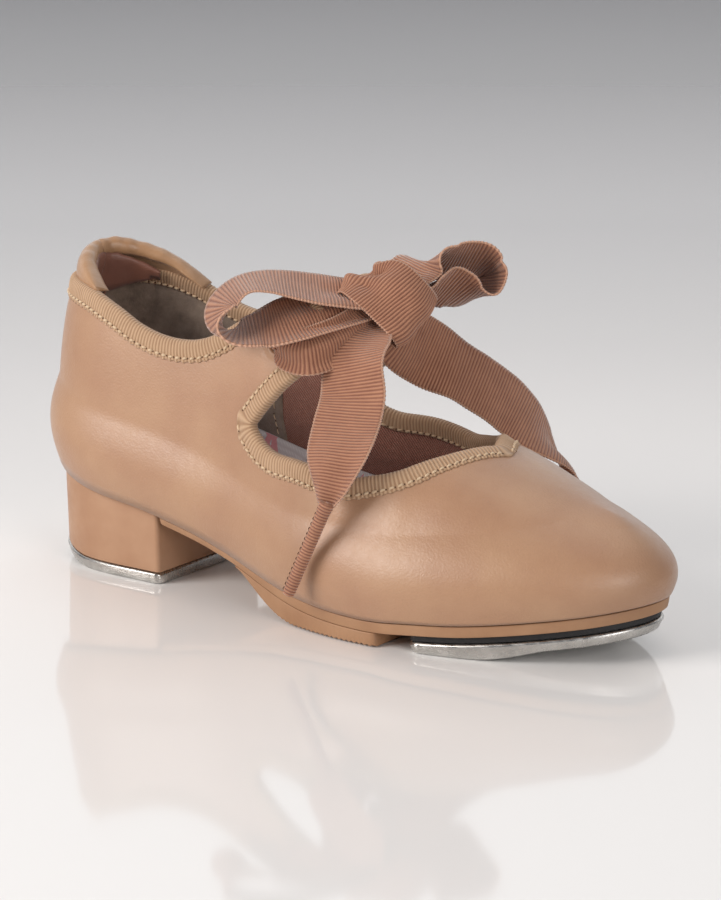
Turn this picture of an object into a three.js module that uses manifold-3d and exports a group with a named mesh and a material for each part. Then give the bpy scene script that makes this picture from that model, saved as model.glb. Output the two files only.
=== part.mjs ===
// Child's tap shoe: a one-strap style low shoe tied with a ribbon bow, with metal heel and toe taps.
// Millimetres, +Z up, +X towards the toe, -Y on the side the short ribbon tail hangs.
// The origin is the middle of the heel tap's flat underside, where the heel stands.

import * as THREE from 'three';
import Module from 'manifold-3d';
import { mergeVertices } from 'three/addons/utils/BufferGeometryUtils.js';

const wasm = await Module();
wasm.setup();

// ---- Driving dimensions ----

// Last: the foot shape that the upper is pulled over. The feather line is its bottom edge.
const shoeLength = 188;
const heelWidth = 47.5;
const ballWidth = 67.8;
const innerShare = 0.525;
const heelRound = 32;
const toeRound = 60;
const heelHeight = 30.2;
const toeSpring = 7.2;
const ballDrop = 1;
const ankleHeight = 93.7;
const instepHeight = 82.8;
const toeHeight = 36.5;
const sideBulge = 2.3;

// Sheet pieces of the upper, and the air left between pieces that lie on each other.
const gap = 0.3;
const upperThick = 1.2;
const stiffenerThick = 0.6;
const liningThick = 0.8;
const bindingThick = 0.55;
const bindingOuter = 5;
const bindingInner = 4;
const collarHeight = 8.5;
const collarThick = 1.1;
const laceHoleRadius = 3.4;

// Bottom.
const marginWidth = 11;
const boardThick = 2;
const sockThick = 1.5;
const shankThick = 1;
const shankWidth = 12;
const waistSole = 1.9;
const foreSole = 3;
const padClearance = 0.6;
const padStart = 74;
const padEnd = 125;

// Heel and taps.
const breastPlace = 46;
const heelInset = 1.9;
const tapThick = 3.2;
const heelRocker = 3;
const heelRockerEnd = 19;
const soundBoardThick = 1.3;
const toeTapRear = 133;
const toeTapInset = 2.6;
const tapFlatEnd = 147;
const screwHeadRadius = 2.9;
const screwShankRadius = 1.3;
const screwLength = 7.2;
const nailRadius = 0.8;
const nailLength = 15;
const heelScrewRadius = 2.2;
const heelScrewLength = 20;

// Ribbon bow.
const ribbonWidth = 18;
const ribbonThick = 0.6;
const tipRadius = 1.7;

// Mesh steps: columns along each side of the last, rows up it, points along the opening.
const columns = 24;
const rows = 6;
const edgeSteps = 2;

// ---- Materials ----

function finish(color, roughness, metalness = 0) {
  return new THREE.MeshStandardMaterial({ color, roughness, metalness });
}

const tanLeather = finish(0xc9a183, 0.5);
const collarLeather = finish(0xb08a68, 0.5);
const beigeTape = finish(0xcbb592, 0.85);
const suede = finish(0x75675a, 0.95);
const brownTwill = finish(0x7a5248, 0.9);
const board = finish(0x9a8468, 0.9);
const whiteSock = finish(0xe9e3e6, 0.85);
const springSteel = finish(0x8f9296, 0.4, 1);
const tanSole = finish(0xb48c68, 0.65);
const heelPlastic = finish(0xc09a79, 0.5);
const blackBoard = finish(0x1b1a1c, 0.6);
const tapMetal = finish(0xc9cac8, 0.35, 1);
const ribbonCloth = finish(0xb9846a, 0.8);

// ---- Curves and solids ----

function smoothstep(start, end, value) {
  return THREE.MathUtils.smoothstep(value, start, end);
}

// A smooth height along the shoe through [x, value] points; straight on past the ends.
function profile(points) {
  return (x) => {
    const last = points.length - 1;
    let i = 0;
    while (i < last - 1 && x > points[i + 1][0]) i += 1;
    const at = (k) => points[Math.min(Math.max(k, 0), last)];
    const slope = (k) => {
      const before = at(k - 1);
      const after = at(k + 1);
      return (after[1] - before[1]) / (after[0] - before[0]);
    };
    const span = at(i + 1)[0] - at(i)[0];
    const t = THREE.MathUtils.clamp((x - at(i)[0]) / span, 0, 1);
    const bend = t * t * (3 - 2 * t);
    const ramp = slope(i) * span * t * (1 - t) * (1 - t) - slope(i + 1) * span * t * t * (1 - t);
    return at(i)[1] + (at(i + 1)[1] - at(i)[1]) * bend + ramp;
  };
}

// Triangles given as points become one closed solid; a shape built inside out is turned.
function solidOf(triangles) {
  const position = new Float32Array(triangles.length * 9);
  let volume = 0;
  triangles.forEach(([a, b, c], i) => {
    position.set([...a.toArray(), ...b.toArray(), ...c.toArray()], i * 9);
    volume += a.dot(b.clone().cross(c));
  });
  const geometry = new THREE.BufferGeometry();
  geometry.setAttribute('position', new THREE.BufferAttribute(position, 3));
  return solidFrom(geometry, volume < 0);
}

function solidFrom(geometry, flip = false) {
  const plain = geometry.clone();
  plain.deleteAttribute('normal');
  plain.deleteAttribute('uv');
  const merged = mergeVertices(plain, 1e-4);
  const index = merged.index.array;
  const triVerts = [];
  for (let i = 0; i < index.length; i += 3) {
    const [a, b, c] = [index[i], index[i + 1], index[i + 2]];
    if (a !== b && b !== c && c !== a) triVerts.push(a, flip ? c : b, flip ? b : c);
  }
  return new wasm.Manifold(new wasm.Mesh({
    numProp: 3,
    vertProperties: new Float32Array(merged.attributes.position.array),
    triVerts: new Uint32Array(triVerts),
  }));
}

function geometryOf(solid) {
  const mesh = solid.getMesh();
  const geometry = new THREE.BufferGeometry();
  geometry.setAttribute('position', new THREE.BufferAttribute(new Float32Array(mesh.vertProperties), 3));
  geometry.setIndex(new THREE.BufferAttribute(new Uint32Array(mesh.triVerts), 1));
  const flat = geometry.toNonIndexed();
  flat.computeVertexNormals();
  return flat;
}

// The biggest of the bodies that a cut leaves.
function mainBody(solid) {
  const bodies = solid.decompose();
  return bodies.reduce((best, body) => (body.volume() > best.volume() ? body : best));
}

// Quads between rings of points, each ring closed on itself, and flat caps on the two ends.
// outline is the ring's flat shape, which says how the caps are cut into triangles.
function tube(rings, outline) {
  const triangles = [];
  rings.slice(1).forEach((ring, i) => {
    const earlier = rings[i];
    ring.forEach((point, k) => {
      const next = (k + 1) % ring.length;
      triangles.push([earlier[k], earlier[next], ring[next]], [earlier[k], ring[next], point]);
    });
  });
  const flat = outline.map(([a, b]) => new THREE.Vector2(a, b));
  const way = THREE.ShapeUtils.area(flat);
  const [first, last] = [rings[0], rings[rings.length - 1]];
  THREE.ShapeUtils.triangulateShape(flat, []).forEach(([a, b, c]) => {
    const sameWay = THREE.ShapeUtils.area([flat[a], flat[b], flat[c]]) * way > 0;
    const [d, e] = sameWay ? [b, c] : [c, b];
    triangles.push([first[a], first[e], first[d]], [last[a], last[d], last[e]]);
  });
  return solidOf(triangles);
}

function box(low, high) {
  const size = high.map((value, i) => value - low[i]);
  const geometry = new THREE.BoxGeometry(...size);
  geometry.translate(...low.map((value, i) => value + size[i] / 2));
  return solidFrom(geometry);
}

function beyond(x) {
  return box([x, -200, -50], [400, 200, 250]);
}

function before(x) {
  return box([-200, -200, -50], [x, 200, 250]);
}

// ---- The last ----

// Feather line: height above the floor of the last's bottom edge.
const forefootStack = tapThick + soundBoardThick + foreSole + 3 * gap;
const heelRise = heelHeight - forefootStack;
const alongShoe = (share) => share * shoeLength;
const feather = profile([
  [0, heelHeight],
  [alongShoe(0.106), forefootStack + heelRise * 0.725],
  [alongShoe(0.24), forefootStack + heelRise * 0.541],
  [alongShoe(0.372), forefootStack + heelRise * 0.284],
  [alongShoe(0.505), forefootStack + heelRise * 0.037],
  [alongShoe(0.638), forefootStack - ballDrop],
  [alongShoe(0.718), forefootStack],
  [alongShoe(0.798), forefootStack + toeSpring * 0.17],
  [alongShoe(0.931), forefootStack + toeSpring * 0.67],
  [shoeLength, forefootStack + toeSpring],
]);

// Crest: the height of the top of the last, from above the ankle down to the toe.
const ballCrest = toeHeight + 12.6;
const crest = profile([
  [0, ankleHeight],
  [alongShoe(0.319), ankleHeight - 0.7],
  [alongShoe(0.452), ankleHeight - 2.7],
  [alongShoe(0.532), instepHeight],
  [alongShoe(0.612), (instepHeight + ballCrest) * 0.45],
  [alongShoe(0.691), ballCrest],
  [alongShoe(0.745), ballCrest - 2.6],
  [alongShoe(0.824), toeHeight + 5],
  [alongShoe(0.904), toeHeight],
  [shoeLength, toeHeight - 3.4],
]);

// Half width of the feather outline: side is -1 for the inner side (-Y) and +1 for the outer side.
function halfWidth(x, side) {
  const share = side < 0 ? innerShare : 1 - innerShare;
  const toePower = side < 0 ? 1.4 : 1.8;
  const spread = smoothstep(0.3, 0.62, x / shoeLength);
  const width = share * (heelWidth + (ballWidth - heelWidth) * spread);
  const towardsBack = Math.max(1 - x / heelRound, 0);
  const towardsToe = Math.max((x - shoeLength) / toeRound + 1, 0);
  const backShare = Math.sqrt(Math.max(1 - towardsBack ** 2.4, 0));
  return width * backShare * Math.sqrt(Math.max(1 - towardsToe ** toePower, 0));
}

// along runs 0 at the back of the heel to 1 at the toe, packed closer at both ends.
function featherPoint(along, side) {
  const x = (shoeLength * (1 - Math.cos(Math.PI * along))) / 2;
  return new THREE.Vector3(x, side * halfWidth(x, side), feather(x));
}

const step = 0.001;

function outlineNormal(along, side) {
  if (along <= 0) return new THREE.Vector3(-1, 0, 0);
  if (along >= 1) return new THREE.Vector3(1, 0, 0);
  const ahead = featherPoint(Math.min(along + step, 1), side);
  const way = ahead.sub(featherPoint(Math.max(along - step, 0), side)).setZ(0);
  return new THREE.Vector3(-side * way.y, side * way.x, 0).normalize();
}

// Outer face of the upper: up runs 0 at the feather line to 1 on the crest.
const crestBack = 20;
const crestFront = shoeLength - 18;

function lastPoint(along, up, side) {
  const foot = featherPoint(along, side);
  const share = foot.x / shoeLength;
  const square = 2.19 + 0.46 * (1 - share) ** 1.5;
  const turn = (up * Math.PI) / 2;
  const over = 1 - Math.max(Math.cos(turn), 0) ** (2 / square);
  const rise = Math.sin(turn) ** (2 / square);
  const crestX = crestBack + (crestFront - crestBack) * share ** 0.93;
  const x = foot.x + (crestX - foot.x) * over;
  const z = foot.z + (crest(x) - foot.z) * rise;
  const swellHeight = Math.min(22, 0.9 * (crest(x) - foot.z));
  const swell = Math.sin(Math.PI * THREE.MathUtils.clamp((z - foot.z) / swellHeight, 0, 1));
  const point = new THREE.Vector3(x, foot.y * (1 - over), z);
  return point.addScaledVector(outlineNormal(along, side), sideBulge * swell);
}

function faceNormal(along, up, side) {
  const high = Math.min(along + step, 1);
  const low = Math.max(along - step, 0);
  const top = Math.min(up + step, 1);
  const bottom = Math.max(up - step, 0);
  const alongWay = lastPoint(high, up, side).sub(lastPoint(low, up, side));
  const upWay = lastPoint(along, top, side).sub(lastPoint(along, bottom, side));
  return alongWay.cross(upWay).multiplyScalar(-side).normalize();
}

// The two sides meet at the back, at the toe and on the crest, and share one normal there.
function lastNormal(along, up, side) {
  const normal = faceNormal(along, up, side);
  if (along > 0 && along < 1 && up < 1) return normal;
  return normal.add(faceNormal(along, up, -side)).setY(0).normalize();
}

function deepPoint(along, up, side, depth) {
  return lastPoint(along, up, side).addScaledVector(lastNormal(along, up, side), -depth);
}

// The whole closed last shape, shrunk by depth, with its bottom raised by lift.
function lastSolid(depth, lift) {
  const place = (i, j, side) => {
    const point = deepPoint(i / columns, j / rows, side, depth);
    if (j === 0) point.z = featherPoint(i / columns, side).z + lift;
    return point;
  };
  const triangles = [];
  for (const side of [-1, 1]) {
    for (let i = 0; i < columns; i += 1) {
      for (let j = 0; j < rows; j += 1) {
        const corners = [place(i, j, side), place(i + 1, j, side), place(i + 1, j + 1, side)];
        corners.push(place(i, j + 1, side));
        if (side > 0) corners.reverse();
        triangles.push([corners[0], corners[1], corners[2]], [corners[0], corners[2], corners[3]]);
      }
    }
  }
  for (let i = 0; i < columns; i += 1) {
    const near = [place(i, 0, -1), place(i + 1, 0, -1)];
    const far = [place(i, 0, 1), place(i + 1, 0, 1)];
    triangles.push([near[0], far[1], near[1]], [near[0], far[0], far[1]]);
  }
  return solidOf(triangles);
}

function aboveFeather(height) {
  return (x) => feather(x) + height;
}

// A flat piece of the bottom, following the outline: insets are measured in from the feather line,
// and top and bottom give its two heights along the shoe.
function bottomSlab(top, bottom, topInset, bottomInset = topInset) {
  const ring = (height, inset) => {
    const points = [];
    const place = (i, side) => {
      const foot = featherPoint(i / columns, side);
      foot.addScaledVector(outlineNormal(i / columns, side), -inset);
      return foot.setZ(height(foot.x));
    };
    for (let i = 0; i <= columns; i += 1) points.push(place(i, -1));
    for (let i = columns - 1; i > 0; i -= 1) points.push(place(i, 1));
    return points;
  };
  const low = ring(bottom, bottomInset);
  const high = ring(top, topInset);
  const count = low.length;
  const triangles = [];
  low.forEach((point, k) => {
    const next = (k + 1) % count;
    triangles.push([point, low[next], high[next]], [point, high[next], high[k]]);
  });
  const across = (k) => (count - k) % count;
  for (let i = 0; i < columns; i += 1) {
    triangles.push([low[i], low[across(i + 1)], low[i + 1]], [low[i], low[across(i)], low[across(i + 1)]]);
    triangles.push([high[i], high[i + 1], high[across(i + 1)]], [high[i], high[across(i + 1)], high[across(i)]]);
  }
  return solidOf(triangles.filter(([a, b, c]) => a !== b && b !== c && c !== a));
}

// ---- Edge of the opening ----

// One half of the opening's edge as [along, up] places on the last: round the ankle, up the tab,
// down its front and round the throat to the middle of the vamp. The other half mirrors it.
const halfEdge = [
  [0, 0.455], [0.098, 0.472], [0.185, 0.475], [0.245, 0.445], [0.29, 0.405], [0.328, 0.39],
  [0.365, 0.405], [0.395, 0.455], [0.422, 0.535], [0.448, 0.63], [0.47, 0.705], [0.49, 0.72],
  [0.505, 0.67], [0.508, 0.58], [0.5, 0.49], [0.475, 0.375], [0.455, 0.29], [0.45, 0.265],
  [0.457, 0.245], [0.473, 0.232], [0.495, 0.24], [0.53, 0.285], [0.56, 0.37], [0.585, 0.47],
  [0.612, 0.59], [0.642, 0.78], [0.668, 0.93], [0.685, 1],
];
const tabTip = 10.5;

function splineThrough(points, perSpan) {
  const flat = points.map(([a, b]) => new THREE.Vector3(a, b, 0));
  const curve = new THREE.CatmullRomCurve3(flat, false, 'catmullrom', 0.5);
  const count = (points.length - 1) * perSpan;
  return Array.from({ length: count + 1 }, (_, k) => curve.getPoint(k / count));
}

function openingEdge() {
  const half = splineThrough(halfEdge, edgeSteps).map((p) => [Math.max(p.x, 0), Math.min(p.y, 1)]);
  half[0][0] = 0;
  half[half.length - 1][1] = 1;
  const near = half.map(([along, up]) => ({ along, up, side: -1 }));
  const far = half.slice(1, -1).reverse().map(([along, up]) => ({ along, up, side: 1 }));
  const edge = [...near, ...far];
  edge.forEach((spot) => {
    spot.point = lastPoint(spot.along, spot.up, spot.side);
    spot.normal = lastNormal(spot.along, spot.up, spot.side);
  });
  edge.forEach((spot, k) => {
    const after = edge[(k + 1) % edge.length].point;
    const way = after.clone().sub(edge[(k - 1 + edge.length) % edge.length].point);
    spot.inward = way.cross(spot.normal).normalize();
  });
  return edge;
}

const edge = openingEdge();
const halfCount = (halfEdge.length - 1) * edgeSteps;

// The place a distance into the material from the edge, at a depth below the outer face.
// A distance below zero lies out in the opening.
function fromEdge(spot, distance, depth) {
  const { along, up, side } = spot;
  if (distance <= 0) {
    const out = spot.point.clone().addScaledVector(spot.inward, distance);
    return out.addScaledVector(spot.normal, -depth);
  }
  const aheadPoint = lastPoint(Math.min(along + step, 1), up, side);
  const higherPoint = lastPoint(along, Math.max(up - step, 0), side);
  const alongWay = aheadPoint.sub(spot.point).divideScalar(step);
  const upWay = spot.point.clone().sub(higherPoint).divideScalar(step);
  const move = spot.inward.clone().multiplyScalar(distance);
  const aa = alongWay.dot(alongWay);
  const bb = upWay.dot(upWay);
  const ab = alongWay.dot(upWay);
  const determinant = aa * bb - ab * ab;
  const alongMove = (bb * move.dot(alongWay) - ab * move.dot(upWay)) / determinant;
  const upMove = (aa * move.dot(upWay) - ab * move.dot(alongWay)) / determinant;
  const newAlong = along <= 0 ? 0 : Math.max(along + alongMove, 0.002);
  return deepPoint(newAlong, up >= 1 ? 1 : Math.min(up + upMove, 0.995), side, depth);
}

// Everything inside the edge, from under the linings up through the top of the last.
// shrink moves its walls in from the edge.
function openingCutter(shrink = 0) {
  const deep = edge.map((spot) => fromEdge(spot, -shrink, 6));
  const outer = edge.map((spot) => fromEdge(spot, -shrink, -3));
  const high = outer.map((point) => point.clone().setZ(ankleHeight + 60));
  const loops = [deep, outer, high];
  const triangles = [];
  loops.slice(1).forEach((loop, i) => {
    loop.forEach((point, k) => {
      const next = (k + 1) % loop.length;
      triangles.push([loops[i][k], loops[i][next], loop[next]], [loops[i][k], loop[next], point]);
    });
  });
  const flatLoop = (loop) => loop.map((point) => new THREE.Vector2(point.x, point.y));
  const cap = (loop, turned) => {
    THREE.ShapeUtils.triangulateShape(flatLoop(loop), []).forEach(([a, b, c]) => {
      const wanted = turned ? [loop[a], loop[c], loop[b]] : [loop[a], loop[b], loop[c]];
      triangles.push(wanted);
    });
  };
  const turnedLoop = THREE.ShapeUtils.area(flatLoop(high)) < 0;
  cap(deep, !turnedLoop);
  cap(high, turnedLoop);
  return solidOf(triangles);
}

const opening = openingCutter();

// Lace hole through each tab, square to its face.
const holePlace = { along: 0.468, up: 0.52 };

function holeFrame(side) {
  const centre = lastPoint(holePlace.along, holePlace.up, side);
  const normal = lastNormal(holePlace.along, holePlace.up, side);
  return { centre, normal };
}

function laceHole(side) {
  const { centre, normal } = holeFrame(side);
  const geometry = new THREE.CylinderGeometry(laceHoleRadius, laceHoleRadius, 14, 20);
  geometry.applyQuaternion(new THREE.Quaternion().setFromUnitVectors(new THREE.Vector3(0, 1, 0), normal));
  geometry.translate(centre.x, centre.y, centre.z);
  return solidFrom(geometry);
}

// ---- Sub-parts ----

const shoe = new THREE.Group();
const heelTapMiddle = (heelInset + 0.4 + breastPlace) / 2;
shoe.position.x = -heelTapMiddle;

function addPart(name, solid, material) {
  const mesh = new THREE.Mesh(geometryOf(mainBody(solid)), material);
  mesh.name = name;
  shoe.add(mesh);
}

const holes = laceHole(-1).add(laceHole(1));

// Depths of the layers inside the upper, and heights of the bottom pieces above the feather line.
const stiffenerDepth = upperThick + gap;
const liningDepth = stiffenerDepth + stiffenerThick + gap;
const liningEnd = liningDepth + liningThick;
const boardBottom = upperThick + 2 * gap;
const boardTop = boardBottom + boardThick;
const boardInset = upperThick + gap + 1.2;
const sockInset = liningEnd + gap + 0.1;
const sockBottom = boardTop + gap;
const shankBottom = 0.05;
const shankFront = alongShoe(0.49);
const soleThick = (x) => waistSole + (foreSole - waistSole) * smoothstep(0.37, 0.55, x / shoeLength);
const soleTop = aboveFeather(-gap);
const soleBottom = (x) => soleTop(x) - soleThick(x);

// ---- Fasteners and their holes ----

// Countersunk screw, head down, standing up from a height; grow widens it to cut its own hole.
function screw(x, y, height, grow = 0) {
  const profilePoints = [
    [0, -grow * 4],
    [screwHeadRadius + grow, -grow * 4],
    [screwHeadRadius + grow, 0.5],
    [screwShankRadius + grow, 2.1],
    [screwShankRadius + grow, screwLength + grow],
    [0, screwLength + grow],
  ];
  const geometry = new THREE.LatheGeometry(profilePoints.map(([r, z]) => new THREE.Vector2(r, z)), 14);
  geometry.rotateX(Math.PI / 2);
  geometry.translate(x, y, height);
  return solidFrom(geometry);
}

// Flat-headed pin, head up, driven down from a height.
function pin(x, y, height, radius, headRadius, length, grow = 0) {
  const profilePoints = [
    [0, -length - grow],
    [radius + grow, -length - grow],
    [radius + grow, -0.8],
    [headRadius + grow, -0.8 - grow],
    [headRadius + grow, grow],
    [0, grow],
  ];
  const geometry = new THREE.LatheGeometry(profilePoints.map(([r, z]) => new THREE.Vector2(r, z)), 12);
  geometry.rotateX(Math.PI / 2);
  geometry.translate(x, y, height);
  return solidFrom(geometry);
}

const screwRecess = 0.35;
const heelScrewSpots = [[13, 0], [breastPlace - 8, -13], [breastPlace - 8, 12]];
const toeScrewSpots = [[toeTapRear + 6, -17], [toeTapRear + 6, 17], [shoeLength - 17, 0]];
const nailSpots = [[13, -11], [13, 10], [31, -14], [31, 13]];

const tapTop = (x) => feather(x) - gap - foreSole - 2 * gap - soundBoardThick;
const tapBottom = (x) => Math.max(0, tapTop(x) - tapThick) * smoothstep(tapFlatEnd, tapFlatEnd + 14, x);
const soundBoardBottom = (x) => tapTop(x) + gap;
const soundBoardTop = (x) => soundBoardBottom(x) + soundBoardThick;

function cutAll(solid, cutters) {
  return cutters.reduce((left, cutter) => left.subtract(cutter), solid);
}

const heelTapBottom = (x) => heelRocker * Math.max(1 - x / heelRockerEnd, 0) ** 1.3;
const heelTapTop = (x) => tapThick + heelTapBottom(x);
const heelScrews = heelScrewSpots.map(([x, y]) => [x, y, heelTapBottom(x) + screwRecess]);
const toeScrews = toeScrewSpots.map(([x, y]) => [x, y, tapBottom(x) + screwRecess]);
const screwHoles = [...heelScrews, ...toeScrews].map((place) => screw(...place, 0.12));

// Nails and the long heel screw hold the heel block from inside, through the insole board.
const nails = nailSpots.map(([x, y]) => [x, y, feather(x) + boardTop - 0.35, nailRadius, 1.6, nailLength]);
const longScrewX = 22;
const longScrew = [longScrewX, 0, feather(longScrewX) + boardTop - 0.65, heelScrewRadius, 4, heelScrewLength];
const pinHoles = [...nails, longScrew].map((place) => pin(...place, 0.12));

// ---- Upper and linings ----

// Upper: one piece pulled over the last, turned in under its bottom as a margin.
function upper() {
  const shell = lastSolid(0, 0).subtract(lastSolid(upperThick, upperThick));
  const inside = bottomSlab(aboveFeather(upperThick + 3), aboveFeather(-3), marginWidth);
  return cutAll(shell.subtract(inside), [opening, holes, ...pinHoles]);
}

// Layers inside the upper, each a shell between two depths, open over the insole board.
function layer(outerDepth, innerDepth, bottomHeight) {
  const shell = lastSolid(outerDepth, 0).subtract(lastSolid(innerDepth, 0));
  const under = bottomSlab(aboveFeather(bottomHeight), aboveFeather(-6), -5);
  return shell.subtract(under).subtract(opening).subtract(holes);
}

const stiffener = layer(stiffenerDepth, stiffenerDepth + stiffenerThick, boardTop + gap);
const lining = layer(liningDepth, liningEnd, boardTop + gap);
const liningSeam = alongShoe(0.287);
const counterTop = ankleHeight - 33;

addPart('upper', upper(), tanLeather);
const heelStiffener = stiffener.intersect(box([-50, -100, -50], [alongShoe(0.3), 100, counterTop]));
addPart('heel_counter', heelStiffener, board);
addPart('toe_puff', stiffener.intersect(beyond(alongShoe(0.8))), board);
addPart('quarter_lining', lining.intersect(before(liningSeam)), suede);
addPart('vamp_lining', lining.intersect(beyond(liningSeam + gap)), brownTwill);

// Binding tape folded over the edge, from one edge place to another, as a U-shaped strip.
const tapeRoom = 0.8;
const webRoom = gap + 0.15;
const tapeLift = gap + 0.4;
const innerFace = liningEnd + gap + tapeRoom;
const bindingSection = [
  [bindingOuter, -tapeLift],
  [bindingOuter, -tapeLift - bindingThick],
  [0, -tapeLift - bindingThick],
  [-webRoom - bindingThick, -gap],
  [-webRoom - bindingThick, liningEnd - 0.2],
  [0, innerFace + bindingThick],
  [bindingInner, innerFace + bindingThick],
  [bindingInner, innerFace],
  [0, innerFace],
  [-webRoom, liningEnd],
  [-webRoom, -tapeLift],
];

function edgeStrip(first, last, section) {
  const rings = [];
  for (let k = first; k <= last; k += 1) {
    const spot = edge[(k + edge.length) % edge.length];
    rings.push(section.map(([distance, depth]) => fromEdge(spot, distance, depth)));
  }
  return tube(rings, section);
}

const tipIndex = Math.round(tabTip * edgeSteps);
addPart('throat_binding', edgeStrip(tipIndex, 2 * halfCount - tipIndex, bindingSection), beigeTape);
addPart('ankle_binding', edgeStrip(1 - tipIndex, tipIndex - 1, bindingSection), beigeTape);

// Heel collar: a fold of soft leather that stands above the binding at the back and hangs inside it.
function heelCollar() {
  const first = Math.round(-3.2 * edgeSteps);
  const last = Math.round(2.2 * edgeSteps);
  const webTop = webRoom + 2 * gap + bindingThick;
  const inside = innerFace + bindingThick + 3 * gap;
  const rings = [];
  let section = [];
  for (let k = first; k <= last; k += 1) {
    const spot = edge[(k + edge.length) % edge.length];
    const rise = Math.sin((Math.PI * (k - first + 1)) / (last - first + 2)) ** 0.6;
    const top = webTop + collarHeight * rise;
    const fold = inside + collarThick;
    section = [
      [-webTop, 0.4], [-top * 0.55, 0], [-top * 0.9, 0.5], [-top, 1.8], [-top * 0.95, fold - 1],
      [-top * 0.7, fold + 0.3], [0, fold + 0.3], [bindingInner + 1, fold + 0.2],
      [bindingInner + 1, inside + 0.2], [0, inside + 0.2], [-webTop, inside],
    ];
    rings.push(section.map(([distance, depth]) => fromEdge(spot, distance, depth)));
  }
  return tube(rings, section);
}

addPart('heel_collar', heelCollar(), collarLeather);

// ---- Bottom pieces ----

const insole = bottomSlab(aboveFeather(boardTop), aboveFeather(boardBottom), boardInset);
addPart('insole_board', cutAll(insole, pinHoles), board);
addPart('sock_liner', bottomSlab(aboveFeather(sockBottom + sockThick), aboveFeather(sockBottom), sockInset), whiteSock);

const marginSpace = bottomSlab(aboveFeather(upperThick), aboveFeather(shankBottom), marginWidth + gap);
const shankSlab = bottomSlab(aboveFeather(shankBottom + shankThick), aboveFeather(shankBottom), marginWidth + gap);
const shankHalf = shankWidth / 2;
const shankStart = 27;
const shankBox = box([shankStart, -shankHalf, -50], [shankFront, shankHalf, 250]);
addPart('steel_shank', shankSlab.intersect(shankBox), springSteel);
addPart('bottom_filler', marginSpace.intersect(beyond(shankFront + gap)), board);

const wholeSole = bottomSlab(soleTop, soleBottom, 0.5, 0.9).intersect(beyond(breastPlace + 1.2));
addPart('outsole', cutAll(wholeSole, screwHoles), tanSole);

const padTop = (x) => soleBottom(x) - gap;
const padShare = (x) => smoothstep(padStart - 2, padStart + 24, x);
const padBottom = (x) => padTop(x) - 0.4 - (padTop(x) - 0.4 - padClearance) * padShare(x);
const pad = bottomSlab(padTop, padBottom, 1.1, 1.7);
addPart('ball_pad', pad.intersect(beyond(padStart)).intersect(before(padEnd)), tanSole);

// Heel block: top follows the seat, bottom lies on the tap; its front is the breast.
const blockBottom = (x) => heelTapTop(x) + gap;
const block = bottomSlab(aboveFeather(-gap), blockBottom, heelInset, heelInset + 0.4);
addPart('heel_block', cutAll(block.intersect(before(breastPlace)), [...screwHoles, ...pinHoles]), heelPlastic);

const heelTapPlate = bottomSlab(heelTapTop, heelTapBottom, heelInset + 0.2, heelInset + 0.7);
addPart('heel_tap', cutAll(heelTapPlate.intersect(before(breastPlace)), screwHoles), tapMetal);

const soundBoard = bottomSlab(soundBoardTop, soundBoardBottom, toeTapInset).intersect(beyond(toeTapRear));
addPart('toe_tap_board', cutAll(soundBoard, screwHoles), blackBoard);
const toePlate = bottomSlab(tapTop, tapBottom, toeTapInset - 0.6, toeTapInset + 0.3);
addPart('toe_tap', cutAll(toePlate.intersect(beyond(toeTapRear - 0.5)), screwHoles), tapMetal);

heelScrews.forEach((place, k) => addPart(`heel_tap_screw_${k + 1}`, screw(...place), springSteel));
toeScrews.forEach((place, k) => addPart(`toe_tap_screw_${k + 1}`, screw(...place), springSteel));
nails.forEach((place, k) => addPart(`heel_nail_${k + 1}`, pin(...place), springSteel));
addPart('heel_screw', pin(...longScrew), springSteel);

// ---- Ribbon bow ----

// A stretch of ribbon: stations of [middle point, direction across], with their own widths.
// grow makes it fatter all round, to cut its neighbours clear of it.
function ribbon(stations, grow = 0) {
  const vector = (list) => new THREE.Vector3(...list);
  const middles = new THREE.CatmullRomCurve3(stations.map(([middle]) => vector(middle)));
  const acrosses = new THREE.CatmullRomCurve3(stations.map(([, across]) => vector(across)));
  const widths = stations.map(([, , width = ribbonWidth]) => width);
  const thicks = stations.map(([, , , thick = ribbonThick]) => thick);
  const blend = (values, t) => {
    const place = t * (values.length - 1);
    const i = Math.min(Math.floor(place), values.length - 2);
    return THREE.MathUtils.lerp(values[i], values[i + 1], place - i);
  };
  const count = (stations.length - 1) * 2;
  const square = [[-1, -1], [1, -1], [1, 1], [-1, 1]];
  const rings = [];
  for (let k = 0; k <= count; k += 1) {
    const t = k / count;
    const middle = middles.getPoint(t);
    const run = middles.getTangent(t);
    const across = acrosses.getPoint(t);
    across.addScaledVector(run, -across.dot(run)).normalize();
    const out = run.clone().cross(across).normalize();
    const half = blend(widths, t) / 2 + grow;
    const deep = blend(thicks, t) / 2 + grow;
    rings.push(square.map(([a, b]) => (
      middle.clone().addScaledVector(across, a * half).addScaledVector(out, b * deep)
    )));
  }
  return tube(rings, square);
}

function rod(from, to, radius) {
  const start = new THREE.Vector3(...from);
  const end = new THREE.Vector3(...to);
  const geometry = new THREE.CylinderGeometry(radius, radius, start.distanceTo(end), 10);
  const way = end.clone().sub(start).normalize();
  geometry.applyQuaternion(new THREE.Quaternion().setFromUnitVectors(new THREE.Vector3(0, 1, 0), way));
  const middle = start.add(end).multiplyScalar(0.5);
  geometry.translate(middle.x, middle.y, middle.z);
  return solidFrom(geometry);
}

// The bow is set out on a shoe of this length; its places move along with a longer one.
const bowShoeLength = 188;
const alongBow = (x) => (x * shoeLength) / bowShoeLength;
const onShoe = (stations) => stations.map(([[x, y, z], ...rest]) => [[alongBow(x), y, z], ...rest]);

// Knot: a rounded wrap over the middle of the bow.
const knotMiddle = [alongBow(104.3), -1.5, 81.5];

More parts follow.
